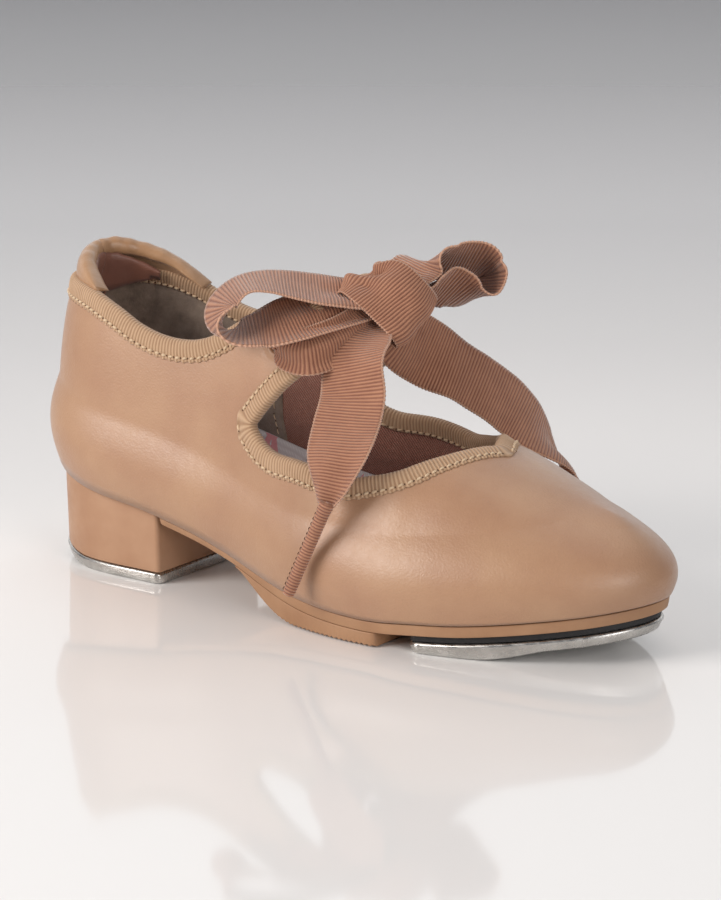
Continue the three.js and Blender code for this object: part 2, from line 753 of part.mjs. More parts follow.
function knot(grow = 0) {
  const geometry = new THREE.SphereGeometry(1, 18, 12);
  geometry.scale(10 + grow, 9 + grow, 8 + grow);
  geometry.rotateY(0.35);
  geometry.translate(...knotMiddle);
  return solidFrom(geometry);
}

const nearLoop = [
  [[98, -9.4, 83.2], [0.48, -0.77, -0.42], 15],
  [[94.4, -16.8, 84.3], [0.49, -0.81, -0.33]],
  [[88.5, -19.5, 84.6], [0.61, -0.77, -0.2]],
  [[82.8, -24.2, 86.4], [0.66, -0.75, -0.07]],
  [[78.7, -28.1, 85.6], [0.74, -0.68, -0.03]],
  [[75.8, -31.4, 82.2], [0.82, -0.57, -0.04]],
  [[75.8, -33.5, 78.8], [0.84, -0.55, 0.04]],
  [[77.6, -34, 76], [0.8, -0.59, 0]],
  [[81, -32.5, 75], [0.78, -0.61, -0.12]],
  [[85.2, -29, 75.7], [0.78, -0.58, -0.24]],
  [[90.3, -24.8, 77.6], [0.76, -0.5, -0.42]],
  [[95.8, -17, 79.3], [0.72, -0.45, -0.5]],
];
const nearTail = [
  [[107.3, -10.5, 78.5], [0.88, -0.48, 0.08], 14],
  [[108.4, -15.6, 74], [0.99, -0.1, 0.07]],
  [[108.5, -19.2, 68.1], [0.99, -0.01, 0.17]],
  [[109.9, -22.7, 60.6], [0.98, 0.19, 0.07]],
  [[111.3, -27.4, 54.4], [0.96, 0.28, 0.08]],
  [[113, -33.4, 48.3], [0.96, 0.22, 0.15]],
  [[113.9, -37.3, 42], [0.97, 0.15, 0.15], 13],
  [[113.4, -38.9, 36.6], [0.97, 0.1, 0.2], 4.5, 2],
];
const nearTip = [[alongBow(113.2), -39, 35.9], [alongBow(102.8), -40.8, 12]];
const farTail = [
  [[108.5, 5.5, 73.4], [0.04, -0.53, -0.85], 13],
  [[110.5, 11.8, 65.8], [0.12, -0.69, -0.72]],
  [[114.5, 16.4, 61.1], [0.15, -0.77, -0.62]],
  [[118.6, 20.4, 57.3], [0.11, -0.83, -0.54]],
  [[122.4, 24.1, 53.5], [0.08, -0.89, -0.45]],
  [[125.3, 27.4, 49.6], [0.05, -0.94, -0.35]],
  [[128.6, 30.6, 45.2], [0.17, -0.95, -0.24]],
  [[131.8, 34, 40.2], [0.31, -0.94, 0.1], 17],
  [[134.2, 37, 35], [0.55, -0.8, 0.3], 13],
  [[136, 38.6, 29.5], [0.9, -0.3, 0.3], 4.5, 2],
];
const farTip = [[alongBow(136.3), 38.7, 28.7], [alongBow(147), 39.2, 5]];
const farLoop = [
  [[102.6, 7.8, 84.2], [-0.92, 0.32, 0.21], 15],
  [[104.2, 14.1, 87.4], [-0.91, 0.37, 0.16]],
  [[105.7, 17.3, 90.8], [-0.88, 0.48, 0]],
  [[107.8, 21.2, 92.7], [-0.83, 0.54, -0.15]],
  [[110.4, 25.4, 93.5], [-0.8, 0.55, -0.24]],
  [[112.8, 28.5, 92.5], [-0.79, 0.57, -0.22]],
  [[114.8, 30.4, 89], [-0.82, 0.55, -0.15]],
  [[116, 30.6, 84.2], [-0.83, 0.55, -0.14]],
  [[115.4, 27.8, 79], [-0.81, 0.54, -0.22]],
  [[112.9, 24.5, 78.6], [-0.77, 0.47, -0.44]],
  [[110.6, 21.8, 80.3], [-0.66, 0.35, -0.67]],
  [[108.4, 18.6, 81.7], [-0.62, 0.35, -0.71]],
  [[107, 14.7, 81.6], [-0.68, 0.46, -0.57]],
  [[106, 10.6, 81], [-0.69, 0.63, -0.36], 15],
];

// Lead: the ribbon gathered through a lace hole and carried over the tab's edge to the knot.
function lead(side) {
  const { centre, normal } = holeFrame(side);
  const out = (distance) => centre.clone().addScaledVector(normal, distance).toArray();
  const mirrored = ([x, y, z]) => [alongBow(x), -side * y, z];
  return [
    [out(-4.4), [0.3, 0, -1], 4, 2.4],
    [out(0.5), [0.3, 0, -1], 4, 2.4],
    [out(2.9), [0.35, 0, -1], 5, 2],
    [mirrored([91, -25.8, 71.8]), mirrored([0.3, -0.2, -0.95]), 9, 1.2],
    [mirrored([97.5, -24.6, 71.4]), mirrored([0.3, -0.2, -0.95]), 11, 0.8],
    [mirrored([101.5, -18, 73]), mirrored([0.2, -0.2, -0.95]), 11, 0.8],
    [mirrored([103, -11, 75.5]), mirrored([0.2, -0.3, -0.95]), 10, 0.8],
    [mirrored([103.5, -6, 78.5]), mirrored([0.2, -0.3, -0.95]), 9, 0.8],
  ];
}

// Room that the tabs and their bindings take up, which the ribbon lies clear of.
const bindingDepth = innerFace + bindingThick + 2 * gap;
const tabRoom = lastSolid(-6 * gap - bindingThick, 0).subtract(lastSolid(bindingDepth, 0));
const tabs = tabRoom.subtract(openingCutter(2 * gap + bindingThick)).subtract(holes);

// Pieces are cut clear of those that lie over them, in the order they are wrapped.
const wrapped = [];

function addRibbon(name, stations) {
  const clear = cutAll(ribbon(stations), [knot(gap), tabs, ...wrapped.map((other) => ribbon(other, gap))]);
  wrapped.push(stations);
  addPart(name, clear, ribbonCloth);
}

addPart('ribbon_knot', knot(), ribbonCloth);
addRibbon('ribbon_tail_near', onShoe(nearTail));
addRibbon('ribbon_tail_far', onShoe(farTail));
addRibbon('ribbon_loop_near', onShoe(nearLoop));
addRibbon('ribbon_loop_far', onShoe(farLoop));
addRibbon('ribbon_lead_near', lead(-1));
addRibbon('ribbon_lead_far', lead(1));
addPart('ribbon_tip_near', rod(...nearTip, tipRadius), ribbonCloth);
addPart('ribbon_tip_far', rod(...farTip, tipRadius), ribbonCloth);

export default shoe;
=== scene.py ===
import math

import bmesh
import bpy
import numpy as np
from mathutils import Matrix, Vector


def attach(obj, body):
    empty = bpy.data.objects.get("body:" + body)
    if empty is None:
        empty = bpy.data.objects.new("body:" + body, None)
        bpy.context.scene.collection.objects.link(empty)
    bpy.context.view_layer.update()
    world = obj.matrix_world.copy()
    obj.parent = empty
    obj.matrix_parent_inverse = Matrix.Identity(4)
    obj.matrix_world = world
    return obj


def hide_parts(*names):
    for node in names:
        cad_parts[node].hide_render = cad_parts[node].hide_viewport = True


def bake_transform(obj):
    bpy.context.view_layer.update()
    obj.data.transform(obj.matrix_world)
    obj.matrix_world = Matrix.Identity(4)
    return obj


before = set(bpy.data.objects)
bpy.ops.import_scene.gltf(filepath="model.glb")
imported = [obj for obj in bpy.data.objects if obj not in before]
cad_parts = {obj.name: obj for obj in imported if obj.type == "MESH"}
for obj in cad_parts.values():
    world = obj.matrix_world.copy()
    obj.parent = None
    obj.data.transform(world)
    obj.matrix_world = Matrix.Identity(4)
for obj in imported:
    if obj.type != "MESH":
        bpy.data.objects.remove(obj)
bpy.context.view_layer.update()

# ---- Camera, light and floor ----
# A long lens low in front of the inner side. One broad soft light stands on the left and weaker ones above and on
# the right, over a pale glossy floor that runs up into a backdrop. The grey towards the back is painted shade, and
# the wall glows as a painted light.

MM = 0.001
HEEL_BACK = -24.15  # where the back of the heel lies along the model's frame, in millimetres


def colour(code):
    """An sRGB hex colour as linear red, green, blue and 1."""
    parts = [int(code[i : i + 2], 16) / 255 for i in (0, 2, 4)]
    linear = [p / 12.92 if p <= 0.04045 else ((p + 0.055) / 1.055) ** 2.4 for p in parts]
    return [*linear, 1.0]


def add(tree, kind, values=None, links=None, **settings):
    """A shader node with its settings, socket values and incoming links."""
    made = tree.nodes.new(kind)
    for key, value in settings.items():
        setattr(made, key, value)
    for key, value in (values or {}).items():
        made.inputs[key].default_value = value
    for key, source in (links or {}).items():
        tree.links.new(source, made.inputs[key])
    return made


def new_material(name, values, metal=0.0):
    """A Principled material and its tree, shader and object coordinates."""
    material = bpy.data.materials.new(name)
    material.use_nodes = True
    tree = material.node_tree
    tree.nodes.clear()
    shader = add(tree, "ShaderNodeBsdfPrincipled", {"Metallic": metal, **values})
    add(tree, "ShaderNodeOutputMaterial", links={0: shader.outputs[0]})
    place = add(tree, "ShaderNodeTexCoord").outputs["Object"]
    return material, tree, shader, place


def sine_of(tree, value, pitch):
    """0 to 1 and back every pitch of value."""
    turn = add(tree, "ShaderNodeMath", {1: 2 * math.pi / pitch}, {0: value}, operation="MULTIPLY")
    wave = add(tree, "ShaderNodeMath", links={0: turn.outputs[0]}, operation="COSINE").outputs[0]
    return add(tree, "ShaderNodeMath", {1: 0.5, 2: 0.5}, {0: wave}, operation="MULTIPLY_ADD").outputs[0]


def noise_of(tree, place, size, detail=4.0, rough=0.55):
    """Noise whose blotches are about size millimetres."""
    made = add(tree, "ShaderNodeTexNoise", {"Scale": 1000 / size, "Detail": detail, "Roughness": rough},
               {"Vector": place})
    return made.outputs[0]


def tint(tree, share, low, high):
    """A colour between two, by share."""
    mixed = add(tree, "ShaderNodeMix", {6: colour(low), 7: colour(high)}, {0: share}, data_type="RGBA")
    return mixed.outputs[2]


def ranged(tree, value, low, high, out_low, out_high):
    made = add(tree, "ShaderNodeMapRange", {1: low, 2: high, 3: out_low, 4: out_high}, {0: value})
    return made.outputs[0]


def bumps(tree, shader, *layers):
    """Stacks bump layers of (height, millimetres) on the shader's normal."""
    normal = None
    for height, size in layers:
        links = {"Height": height}
        if normal is not None:
            links["Normal"] = normal
        normal = add(tree, "ShaderNodeBump", {"Distance": size * MM, "Strength": 1.0}, links).outputs[0]
    tree.links.new(normal, shader.inputs["Normal"])


def point_at(thing, spot, target):
    thing.location = spot
    thing.rotation_euler = (Vector(target) - Vector(spot)).to_track_quat("-Z", "Y").to_euler()
    bpy.context.scene.collection.objects.link(thing)


camera = bpy.data.objects.new("camera", bpy.data.cameras.new("camera"))
camera.data.lens = 150.5
camera.data.sensor_width = 36
camera.data.clip_end = 20
point_at(camera, (0.6300, -0.7636, 0.2826), (0.0702, 0.0017, 0.0394))
bpy.context.scene.camera = camera
bpy.context.scene.view_settings.view_transform = "Standard"


def soft_light(name, spot, target, size, power, code):
    lamp = bpy.data.lights.new(name, "AREA")
    lamp.shape = "RECTANGLE"
    lamp.size, lamp.size_y = size
    lamp.energy = power
    lamp.color = colour(code)[:3]
    point_at(bpy.data.objects.new(name, lamp), spot, target)


soft_light("key_light", (-0.5, -1.0, 0.62), (0.05, 0, 0.05), (0.7, 0.7), 14, "FFF9F4")
soft_light("top_light", (0.15, 0.25, 1.2), (0.07, 0, 0.05), (0.9, 0.7), 2.4, "FFFCF8")
soft_light("fill_light", (1.25, -0.55, 0.45), (0.1, 0, 0.04), (0.6, 0.6), 6, "FBF8F6")

world = bpy.data.worlds.new("studio")
world.use_nodes = True
world.node_tree.nodes["Background"].inputs[0].default_value = colour("E8E9EE")
world.node_tree.nodes["Background"].inputs[1].default_value = 0.3
bpy.context.scene.world = world

AWAY = (-0.5903, 0.8072, 0.0)  # level, from the camera to the backdrop


def backdrop():
    """Floor and wall in one curved sheet, square to the camera; the floor's colour darkens behind the shoe as
    painted shade, and the wall glows as a painted light, grey at its foot.
    """
    floor_material, tree, shader, place = new_material("studio_floor", {"IOR": 1.5, "Roughness": 0.07})
    # Painted shade: the floor's colour runs from pale near the shoe to dark grey further back, standing in for the
    # light falling off.
    depth = add(tree, "ShaderNodeVectorMath", {1: AWAY}, {0: place}, operation="DOT_PRODUCT").outputs["Value"]
    share = add(tree, "ShaderNodeMapRange", {1: 0.0, 2: 1.3}, {0: depth}).outputs[0]
    ramp = add(tree, "ShaderNodeValToRGB", links={0: share}).color_ramp
    ramp.elements[0].color = colour("F0EFEE")
    ramp.elements[1].color = colour("6E6E72")
    for spot, code in ((0.1, "E0DEDD"), (0.2, "C8C6C6"), (0.36, "A4A3A5"), (0.65, "7C7C7F")):
        ramp.elements.new(spot).color = colour(code)
    tree.links.new(ramp.id_data.nodes["Color Ramp"].outputs[0], shader.inputs["Base Color"])
    across = Vector((AWAY[1], -AWAY[0], 0))
    line = [(-2.2, 0.0), (1.5, 0.0)]
    for i in range(1, 17):
        turn = math.radians(90 * i / 16)
        line.append((1.5 + 0.4 * math.sin(turn), 0.4 - 0.4 * math.cos(turn)))
    line.append((1.9, 2.6))
    points = []
    for reach in (-3, 3):
        points += [Vector((0.07, 0, z)) + Vector(AWAY) * d + across * reach for d, z in line]
    count = len(line)
    faces = [(i, i + 1, count + i + 1, count + i) for i in range(count - 1)]
    mesh = bpy.data.meshes.new("studio_backdrop")
    mesh.from_pydata(points, [], faces)
    mesh.polygons.foreach_set("use_smooth", [True] * len(faces))
    mesh.materials.append(floor_material)
    # Painted light: the wall glows by its own emission, white at the top and grey towards its foot as painted
    # shade.
    wall, tree, shader, place = new_material("studio_wall", {"IOR": 1.4, "Roughness": 0.9,
                                                             "Emission Strength": 0.6})
    tall = add(tree, "ShaderNodeSeparateXYZ", links={0: place}).outputs[2]
    painted_glow = tint(tree, ranged(tree, tall, 0.02, 0.3, 0, 1), "8A8A8D", "FFFFFF")
    tree.links.new(painted_glow, shader.inputs["Base Color"])
    tree.links.new(painted_glow, shader.inputs["Emission Color"])
    mesh.materials.append(wall)
    for face in mesh.polygons:
        face.material_index = int(face.center.z > 0.001)
    sheet = bpy.data.objects.new("studio_backdrop", mesh)
    bpy.context.scene.collection.objects.link(sheet)


backdrop()

# ---- The last ----
# The wooden form that the shoe is pulled over, as a surface: along runs 0 at the back of the heel
# to 1 at the toe, up runs 0 at the sole's edge to 1 on the crest, and side is -1 inner, +1 outer.
# Sizes are in millimetres from the back of the heel until a piece is made.

LENGTH = 188.0
GAP = 0.3
STACK = 8.4
HEEL_RISE = 30.2 - STACK
UPPER_THICK = 1.2
LINING_DEPTH = 2.4
LINING_END = 3.2


def profile(points):
    """A smooth height along the shoe through (x, value) points."""
    xs, values = np.array(points, float).T
    order = np.arange(len(xs))
    before, after = np.maximum(order - 1, 0), np.minimum(order + 1, len(xs) - 1)
    slopes = (values[after] - values[before]) / (xs[after] - xs[before])

    def height(x):
        x = np.asarray(x, float)
        i = np.clip(np.searchsorted(xs, x) - 1, 0, len(xs) - 2)
        span = xs[i + 1] - xs[i]
        t = np.clip((x - xs[i]) / span, 0, 1)
        rise = (values[i + 1] - values[i]) * t * t * (3 - 2 * t)
        bend = slopes[i] * span * t * (1 - t) ** 2 - slopes[i + 1] * span * t * t * (1 - t)
        return values[i] + rise + bend

    return height


def smoothstep(start, end, value):
    t = np.clip((np.asarray(value, float) - start) / (end - start), 0, 1)
    return t * t * (3 - 2 * t)


feather = profile([
    (0, STACK + HEEL_RISE),
    (0.106 * LENGTH, STACK + HEEL_RISE * 0.725),
    (0.24 * LENGTH, STACK + HEEL_RISE * 0.541),
    (0.372 * LENGTH, STACK + HEEL_RISE * 0.284),
    (0.505 * LENGTH, STACK + HEEL_RISE * 0.037),
    (0.638 * LENGTH, STACK - 1.0),
    (0.718 * LENGTH, STACK),
    (0.798 * LENGTH, STACK + 1.2),
    (0.931 * LENGTH, STACK + 4.8),
    (LENGTH, STACK + 7.2),
])
crest = profile([
    (0, 93.7),
    (0.319 * LENGTH, 93.0),
    (0.452 * LENGTH, 91.0),
    (0.532 * LENGTH, 82.8),
    (0.612 * LENGTH, 59.4),
    (0.691 * LENGTH, 49.1),
    (0.745 * LENGTH, 46.5),
    (0.824 * LENGTH, 41.5),
    (0.904 * LENGTH, 36.5),
    (LENGTH, 33.1),
])


def unit(vectors):
    return vectors / np.maximum(np.linalg.norm(vectors, axis=-1, keepdims=True), 1e-12)


def dot(a, b):
    return np.sum(a * b, axis=-1)


def half_width(x, side):
    share = np.where(side < 0, 0.525, 0.475)
    power = np.where(side < 0, 1.4, 1.8)
    width = share * (47.5 + 20.3 * smoothstep(0.3, 0.62, x / LENGTH))
    back = np.maximum(1 - x / 32, 0)
    front = np.maximum((x - LENGTH) / 60 + 1, 0)
    return width * np.sqrt(np.maximum(1 - back**2.4, 0)) * np.sqrt(np.maximum(1 - front**power, 0))


def feather_point(along, side):
    along, side = np.broadcast_arrays(np.asarray(along, float), np.asarray(side, float))
    x = LENGTH * (1 - np.cos(np.pi * along)) / 2
    return np.stack([x, side * half_width(x, side), feather(x)], axis=-1)


def outline_normal(along, side):
    along, side = np.broadcast_arrays(np.asarray(along, float), np.asarray(side, float))
    way = feather_point(np.minimum(along + 0.001, 1), side) - feather_point(np.maximum(along - 0.001, 0), side)
    normal = unit(np.stack([-side * way[..., 1], side * way[..., 0], np.zeros(along.shape)], axis=-1))
    normal[along <= 0] = (-1, 0, 0)
    normal[along >= 1] = (1, 0, 0)
    return normal


def last_point(along, up, side):
    along, up, side = np.broadcast_arrays(*(np.asarray(v, float) for v in (along, up, side)))
    foot = feather_point(along, side)
    share = foot[..., 0] / LENGTH
    square = 2.19 + 0.46 * np.maximum(1 - share, 0) ** 1.5
    over = 1 - np.maximum(np.cos(up * np.pi / 2), 0) ** (2 / square)
    rise = np.sin(up * np.pi / 2) ** (2 / square)
    x = foot[..., 0] + (20 + 150 * share**0.93 - foot[..., 0]) * over
    tall = crest(x) - foot[..., 2]
    z = foot[..., 2] + tall * rise
    swell = np.sin(np.pi * np.clip((z - foot[..., 2]) / np.minimum(22, 0.9 * tall), 0, 1))
    point = np.stack([x, foot[..., 1] * (1 - over), z], axis=-1)
    return point + outline_normal(along, side) * (2.3 * swell)[..., None]


def face_normal(along, up, side):
    ahead = last_point(np.minimum(along + 0.001, 1), up, side)
    along_way = ahead - last_point(np.maximum(along - 0.001, 0), up, side)
    above = last_point(along, np.minimum(up + 0.001, 1), side)
    up_way = above - last_point(along, np.maximum(up - 0.001, 0), side)
    return unit(np.cross(along_way, up_way) * -np.asarray(side, float)[..., None])


def last_normal(along, up, side):
    """Outward normal; the two sides share one where they meet."""
    along, up, side = np.broadcast_arrays(*(np.asarray(v, float) for v in (along, up, side)))
    normal = face_normal(along, up, side)
    seam = (along <= 0) | (along >= 1) | (up >= 1)
    if seam.any():
        shared = normal + face_normal(along, up, -side)
        shared[..., 1] = 0
        normal = np.where(seam[..., None], unit(shared), normal)
    return normal


def deep_point(along, up, side, depth):
    depth = np.asarray(depth, float)
    return last_point(along, up, side) - last_normal(along, up, side) * depth[..., None]


# ---- Opening edge ----
# One cut edge runs round the ankle, over both tabs and round the throat. The tapes, stitches and
# collar are laid out by their distance along it and from it, so they share these functions.

HALF_EDGE = [
    (0, 0.455), (0.098, 0.472), (0.185, 0.475), (0.245, 0.445), (0.29, 0.405), (0.328, 0.39),
    (0.365, 0.405), (0.395, 0.455), (0.422, 0.535), (0.448, 0.63), (0.47, 0.705), (0.49, 0.72),
    (0.505, 0.67), (0.508, 0.58), (0.5, 0.49), (0.475, 0.375), (0.455, 0.29), (0.45, 0.265),
    (0.457, 0.245), (0.473, 0.232), (0.495, 0.24), (0.53, 0.285), (0.56, 0.37), (0.585, 0.47),
    (0.612, 0.59), (0.642, 0.78), (0.668, 0.93), (0.685, 1),
]
TAB_TIP = 10.5
HOLE = (0.468, 0.52)


def catmull(points, count):
    """count + 1 points on a smooth curve through the given ones."""
    points = np.array(points, float)
    points = np.vstack([2 * points[0] - points[1], points, 2 * points[-1] - points[-2]])
    t = np.linspace(0, len(points) - 3, count + 1)
    i = np.minimum(t.astype(int), len(points) - 4)
    f = (t - i)[:, None]
    p0, p1, p2, p3 = (points[i + k] for k in range(4))
    return 0.5 * (2 * p1 + (p2 - p0) * f + (2 * p0 - 5 * p1 + 4 * p2 - p3) * f**2
                  + (3 * p1 - p0 - 3 * p2 + p3) * f**3)


EDGE_STEPS = 30
half = catmull(HALF_EDGE, (len(HALF_EDGE) - 1) * EDGE_STEPS)
half[:, 0] = np.maximum(half[:, 0], 0)
half[:, 1] = np.minimum(half[:, 1], 1)
half[0, 0], half[-1, 1] = 0, 1


def lengths(points):
    """Distance from the first point to each, along the line."""
    return np.concatenate([[0], np.cumsum(np.linalg.norm(np.diff(points, axis=0), axis=1))])


near_run = lengths(last_point(half[:, 0], half[:, 1], -1))
far_run = lengths(last_point(half[:, 0], half[:, 1], 1))
LOOP = near_run[-1] + far_run[-1]
TIP_NEAR = near_run[round(TAB_TIP * EDGE_STEPS)]
TIP_FAR = LOOP - far_run[round(TAB_TIP * EDGE_STEPS)]


def edge_place(run):
    """(along, up, side) of places on the edge, run millimetres round it from the back."""
    run = np.mod(np.asarray(run, float), LOOP)
    near = run <= near_run[-1]
    local = np.where(near, run, LOOP - run)
    along = np.where(near, np.interp(local, near_run, half[:, 0]), np.interp(local, far_run, half[:, 0]))
    up = np.where(near, np.interp(local, near_run, half[:, 1]), np.interp(local, far_run, half[:, 1]))
    return along, up, np.where(near, -1.0, 1.0)


def edge_frame(run):
    """Edge points, their outward normals and their directions into the material."""
    place = edge_place(run)
    normal = last_normal(*place)
    way = last_point(*edge_place(run + 0.5)) - last_point(*edge_place(run - 0.5))
    return last_point(*place), normal, unit(np.cross(way, normal))


def from_edge(run, distance, depth):
    """Points a distance into the material and a depth under its face; below 0 is in the opening."""
    run, distance, depth = np.broadcast_arrays(*(np.asarray(v, float) for v in (run, distance, depth)))
    along, up, side = edge_place(run)
    point, normal, inward = edge_frame(run)
    outside = point + inward * distance[..., None] - normal * depth[..., None]
    along_way = (last_point(np.minimum(along + 0.001, 1), up, side) - point) / 0.001
    up_way = (point - last_point(along, np.maximum(up - 0.001, 0), side)) / 0.001
    move = inward * distance[..., None]
    aa, bb, ab = dot(along_way, along_way), dot(up_way, up_way), dot(along_way, up_way)
    ma, mb = dot(move, along_way), dot(move, up_way)
    base = np.maximum(aa * bb - ab * ab, 1e-9)
    new_along = np.where(along <= 0, 0, np.clip(along + (bb * ma - ab * mb) / base, 0.002, 1))
    new_up = np.where(up >= 1, 1, np.clip(up + (aa * mb - ab * ma) / base, 0, 0.995))
    inside = deep_point(new_along, new_up, side, depth)
    return np.where((distance > 0)[..., None], inside, outside)


def in_opening(along, up):
    """True for places inside the opening's outline."""
    ring = np.vstack([half[::6], [half[-1]], [[0.685, 1.2], [0, 1.2]]])
    inside = np.zeros(along.shape, bool)
    for (a, b), (c, d) in zip(ring, np.roll(ring, -1, axis=0)):
        if b != d:
            crosses = ((b > up) != (d > up)) & (along < (c - a) * (up - b) / (d - b) + a)
            inside ^= crosses
    return inside


# ---- Making pieces ----
# Every piece is one mesh made from rows of points, put in the model's frame and given its finish.


def make_piece(name, points, faces, material, run=None):
    """A mesh piece from points in millimetres. run is a vector for each point, for the material."""
    mesh = bpy.data.meshes.new(name)
    points = (np.asarray(points, float).reshape(-1, 3) + (HEEL_BACK, 0, 0)) * MM
    mesh.from_pydata(points.tolist(), [], faces)
    if run is not None:
        layer = mesh.attributes.new("run", "FLOAT_VECTOR", "POINT")
        layer.data.foreach_set("vector", np.asarray(run, np.float32).reshape(-1))
    work = bmesh.new()
    work.from_mesh(mesh)
    bmesh.ops.remove_doubles(work, verts=work.verts, dist=2e-6)
    bmesh.ops.dissolve_degenerate(work, dist=1e-7, edges=work.edges)
    bmesh.ops.recalc_face_normals(work, faces=work.faces)
    for face in work.faces:
        face.smooth = True
    work.to_mesh(mesh)
    work.free()
    mesh.materials.append(material)
    made = bpy.data.objects.new(name, mesh)
    bpy.context.scene.collection.objects.link(made)
    return made


def rows_faces(rows, columns, around=False, caps=False, start=0):
    """Quads between rows of points; around joins each row's ends, caps close the first and last."""
    faces = []
    last = columns if around else columns - 1
    for r in range(rows - 1):
        for k in range(last):
            n = (k + 1) % columns
            a, b = start + r * columns, start + (r + 1) * columns
            faces.append((a + k, a + n, b + n, b + k))
    if caps:
        faces.append(tuple(start + k for k in range(columns)))
        faces.append(tuple(start + (rows - 1) * columns + k for k in range(columns - 1, -1, -1)))
    return faces


def thicken(piece, thick):
    """Gives an open sheet its thickness, half to each side."""
    wall = piece.modifiers.new("thickness", "SOLIDIFY")
    wall.thickness = thick * MM
    wall.offset = 0
    wall.use_even_offset = False
    return piece


def rounded_rings(top_inset, bottom_inset, radius):
    """(inset, 0 bottom or 1 top, lift) of the rings of a slab with rounded edges."""
    steps = 4
    rings = []
    for i in range(steps + 1):
        turn = math.pi / 2 * i / steps
        rings.append((bottom_inset + radius * (1 - math.sin(turn)), 0, radius * (1 - math.cos(turn))))
    for i in range(steps + 1):
        turn = math.pi / 2 * i / steps
        rings.append((top_inset + radius * (1 - math.cos(turn)), 1, -radius * (1 - math.sin(turn))))
    return rings


def slab(name, ends, heights, insets, radius, material, columns=120, corner=1.5, wave=None):
    """A flat bottom piece that follows the outline. ends are its first and last x, a flat cut unless
    it is the heel's back or the toe. heights are its top and bottom along x, insets are from the
    outline at top and bottom, and wave changes the bottom height."""
    (start, end), (top, bottom) = ends, heights
    flat_start, flat_end = start > 0, end < LENGTH
    turns = np.radians(np.linspace(0, 90, 6))[:-1]
    t = np.linspace(0, 1, columns)
    if not flat_start:
        t = 1 - np.cos(t * np.pi / 2) if flat_end else (1 - np.cos(t * np.pi)) / 2
    elif not flat_end:
        t = np.sin(t * np.pi / 2)
    loops = []
    for inset, share, lift in rounded_rings(*insets, radius):
        base = insets[0] if share else insets[1]
        first = start + (inset - base if flat_start else 0)
        final = end - (inset - base if flat_end else 0)
        halves = []
        for side in (-1, 1):
            low = first + (corner if flat_start else 0)
            high = final - (corner if flat_end else 0)
            x = low + (high - low) * t
            along = np.arccos(np.clip(1 - 2 * x / LENGTH, -1, 1)) / np.pi
            line = feather_point(along, side) - outline_normal(along, side) * inset
            if flat_start:
                line[:, 0] = np.maximum(line[:, 0], low)
                bend_y = line[0, 1] - side * corner * (1 - np.sin(turns))
                bend = np.stack([low - corner * np.cos(turns), bend_y, 0 * turns], axis=-1)
                line = np.vstack([bend, line])
            if flat_end:
                line[:, 0] = np.minimum(line[:, 0], high)
                back = turns[::-1]
                bend_y = line[-1, 1] - side * corner * (1 - np.sin(back))
                bend = np.stack([high + corner * np.cos(back), bend_y, 0 * turns], axis=-1)
                line = np.vstack([line, bend])
            halves.append(line)
        loop = np.vstack([halves[0], halves[1][::-1]])
        x = loop[:, 0]
        low_edge = bottom(x) + (wave(x) if wave else 0)
        loop[:, 2] = (top(x) if share else low_edge) + lift
        loops.append(loop)
    count = len(loops[0])
    faces = rows_faces(len(loops), count, around=True)
    last_loop = (len(loops) - 1) * count
    for k in range(count // 2 - 1):
        other = count - 1 - k
        faces.append((k, other, other - 1, k + 1))
        faces.append((last_loop + k, last_loop + k + 1, last_loop + other - 1, last_loop + other))
    return make_piece(name, np.vstack(loops), faces, material)


def above_feather(height):
    return lambda x: feather(x) + height


# ---- Upper ----
# One piece of smooth tan leather with a fine even grain, pulled over the last and cemented under
# it. A pressed rim stands round each punched lace hole.


def leather(name, low, high, grain, gloss):
    """Smooth finished leather: faint blotches, small rounded grain and fine pores."""
    material, tree, shader, place = new_material(name, {"IOR": 1.5, "Roughness": gloss, "Sheen Weight": 0.12,
                                                       "Coat Weight": 0.45, "Coat Roughness": 0.44})
    blotch = ranged(tree, noise_of(tree, place, 22, 3), 0.35, 0.65, 0, 1)
    tree.links.new(tint(tree, blotch, low, high), shader.inputs["Base Color"])
    cells = add(tree, "ShaderNodeTexVoronoi", {"Scale": 1000 / grain, "Randomness": 1.0}, {"Vector": place},
                feature="SMOOTH_F1").outputs[0]
    fine = noise_of(tree, place, grain * 0.5, 3)
    bumps(tree, shader, (cells, 0.07), (fine, 0.05), (noise_of(tree, place, 9, 2), 0.12))
    rough = ranged(tree, noise_of(tree, place, 1.6, 4), 0.3, 0.7, gloss - 0.05, gloss + 0.08)
    tree.links.new(rough, shader.inputs["Roughness"])
    return material


tan_leather = leather("tan_leather", "A87E60", "B28A6A", 0.55, 0.4)


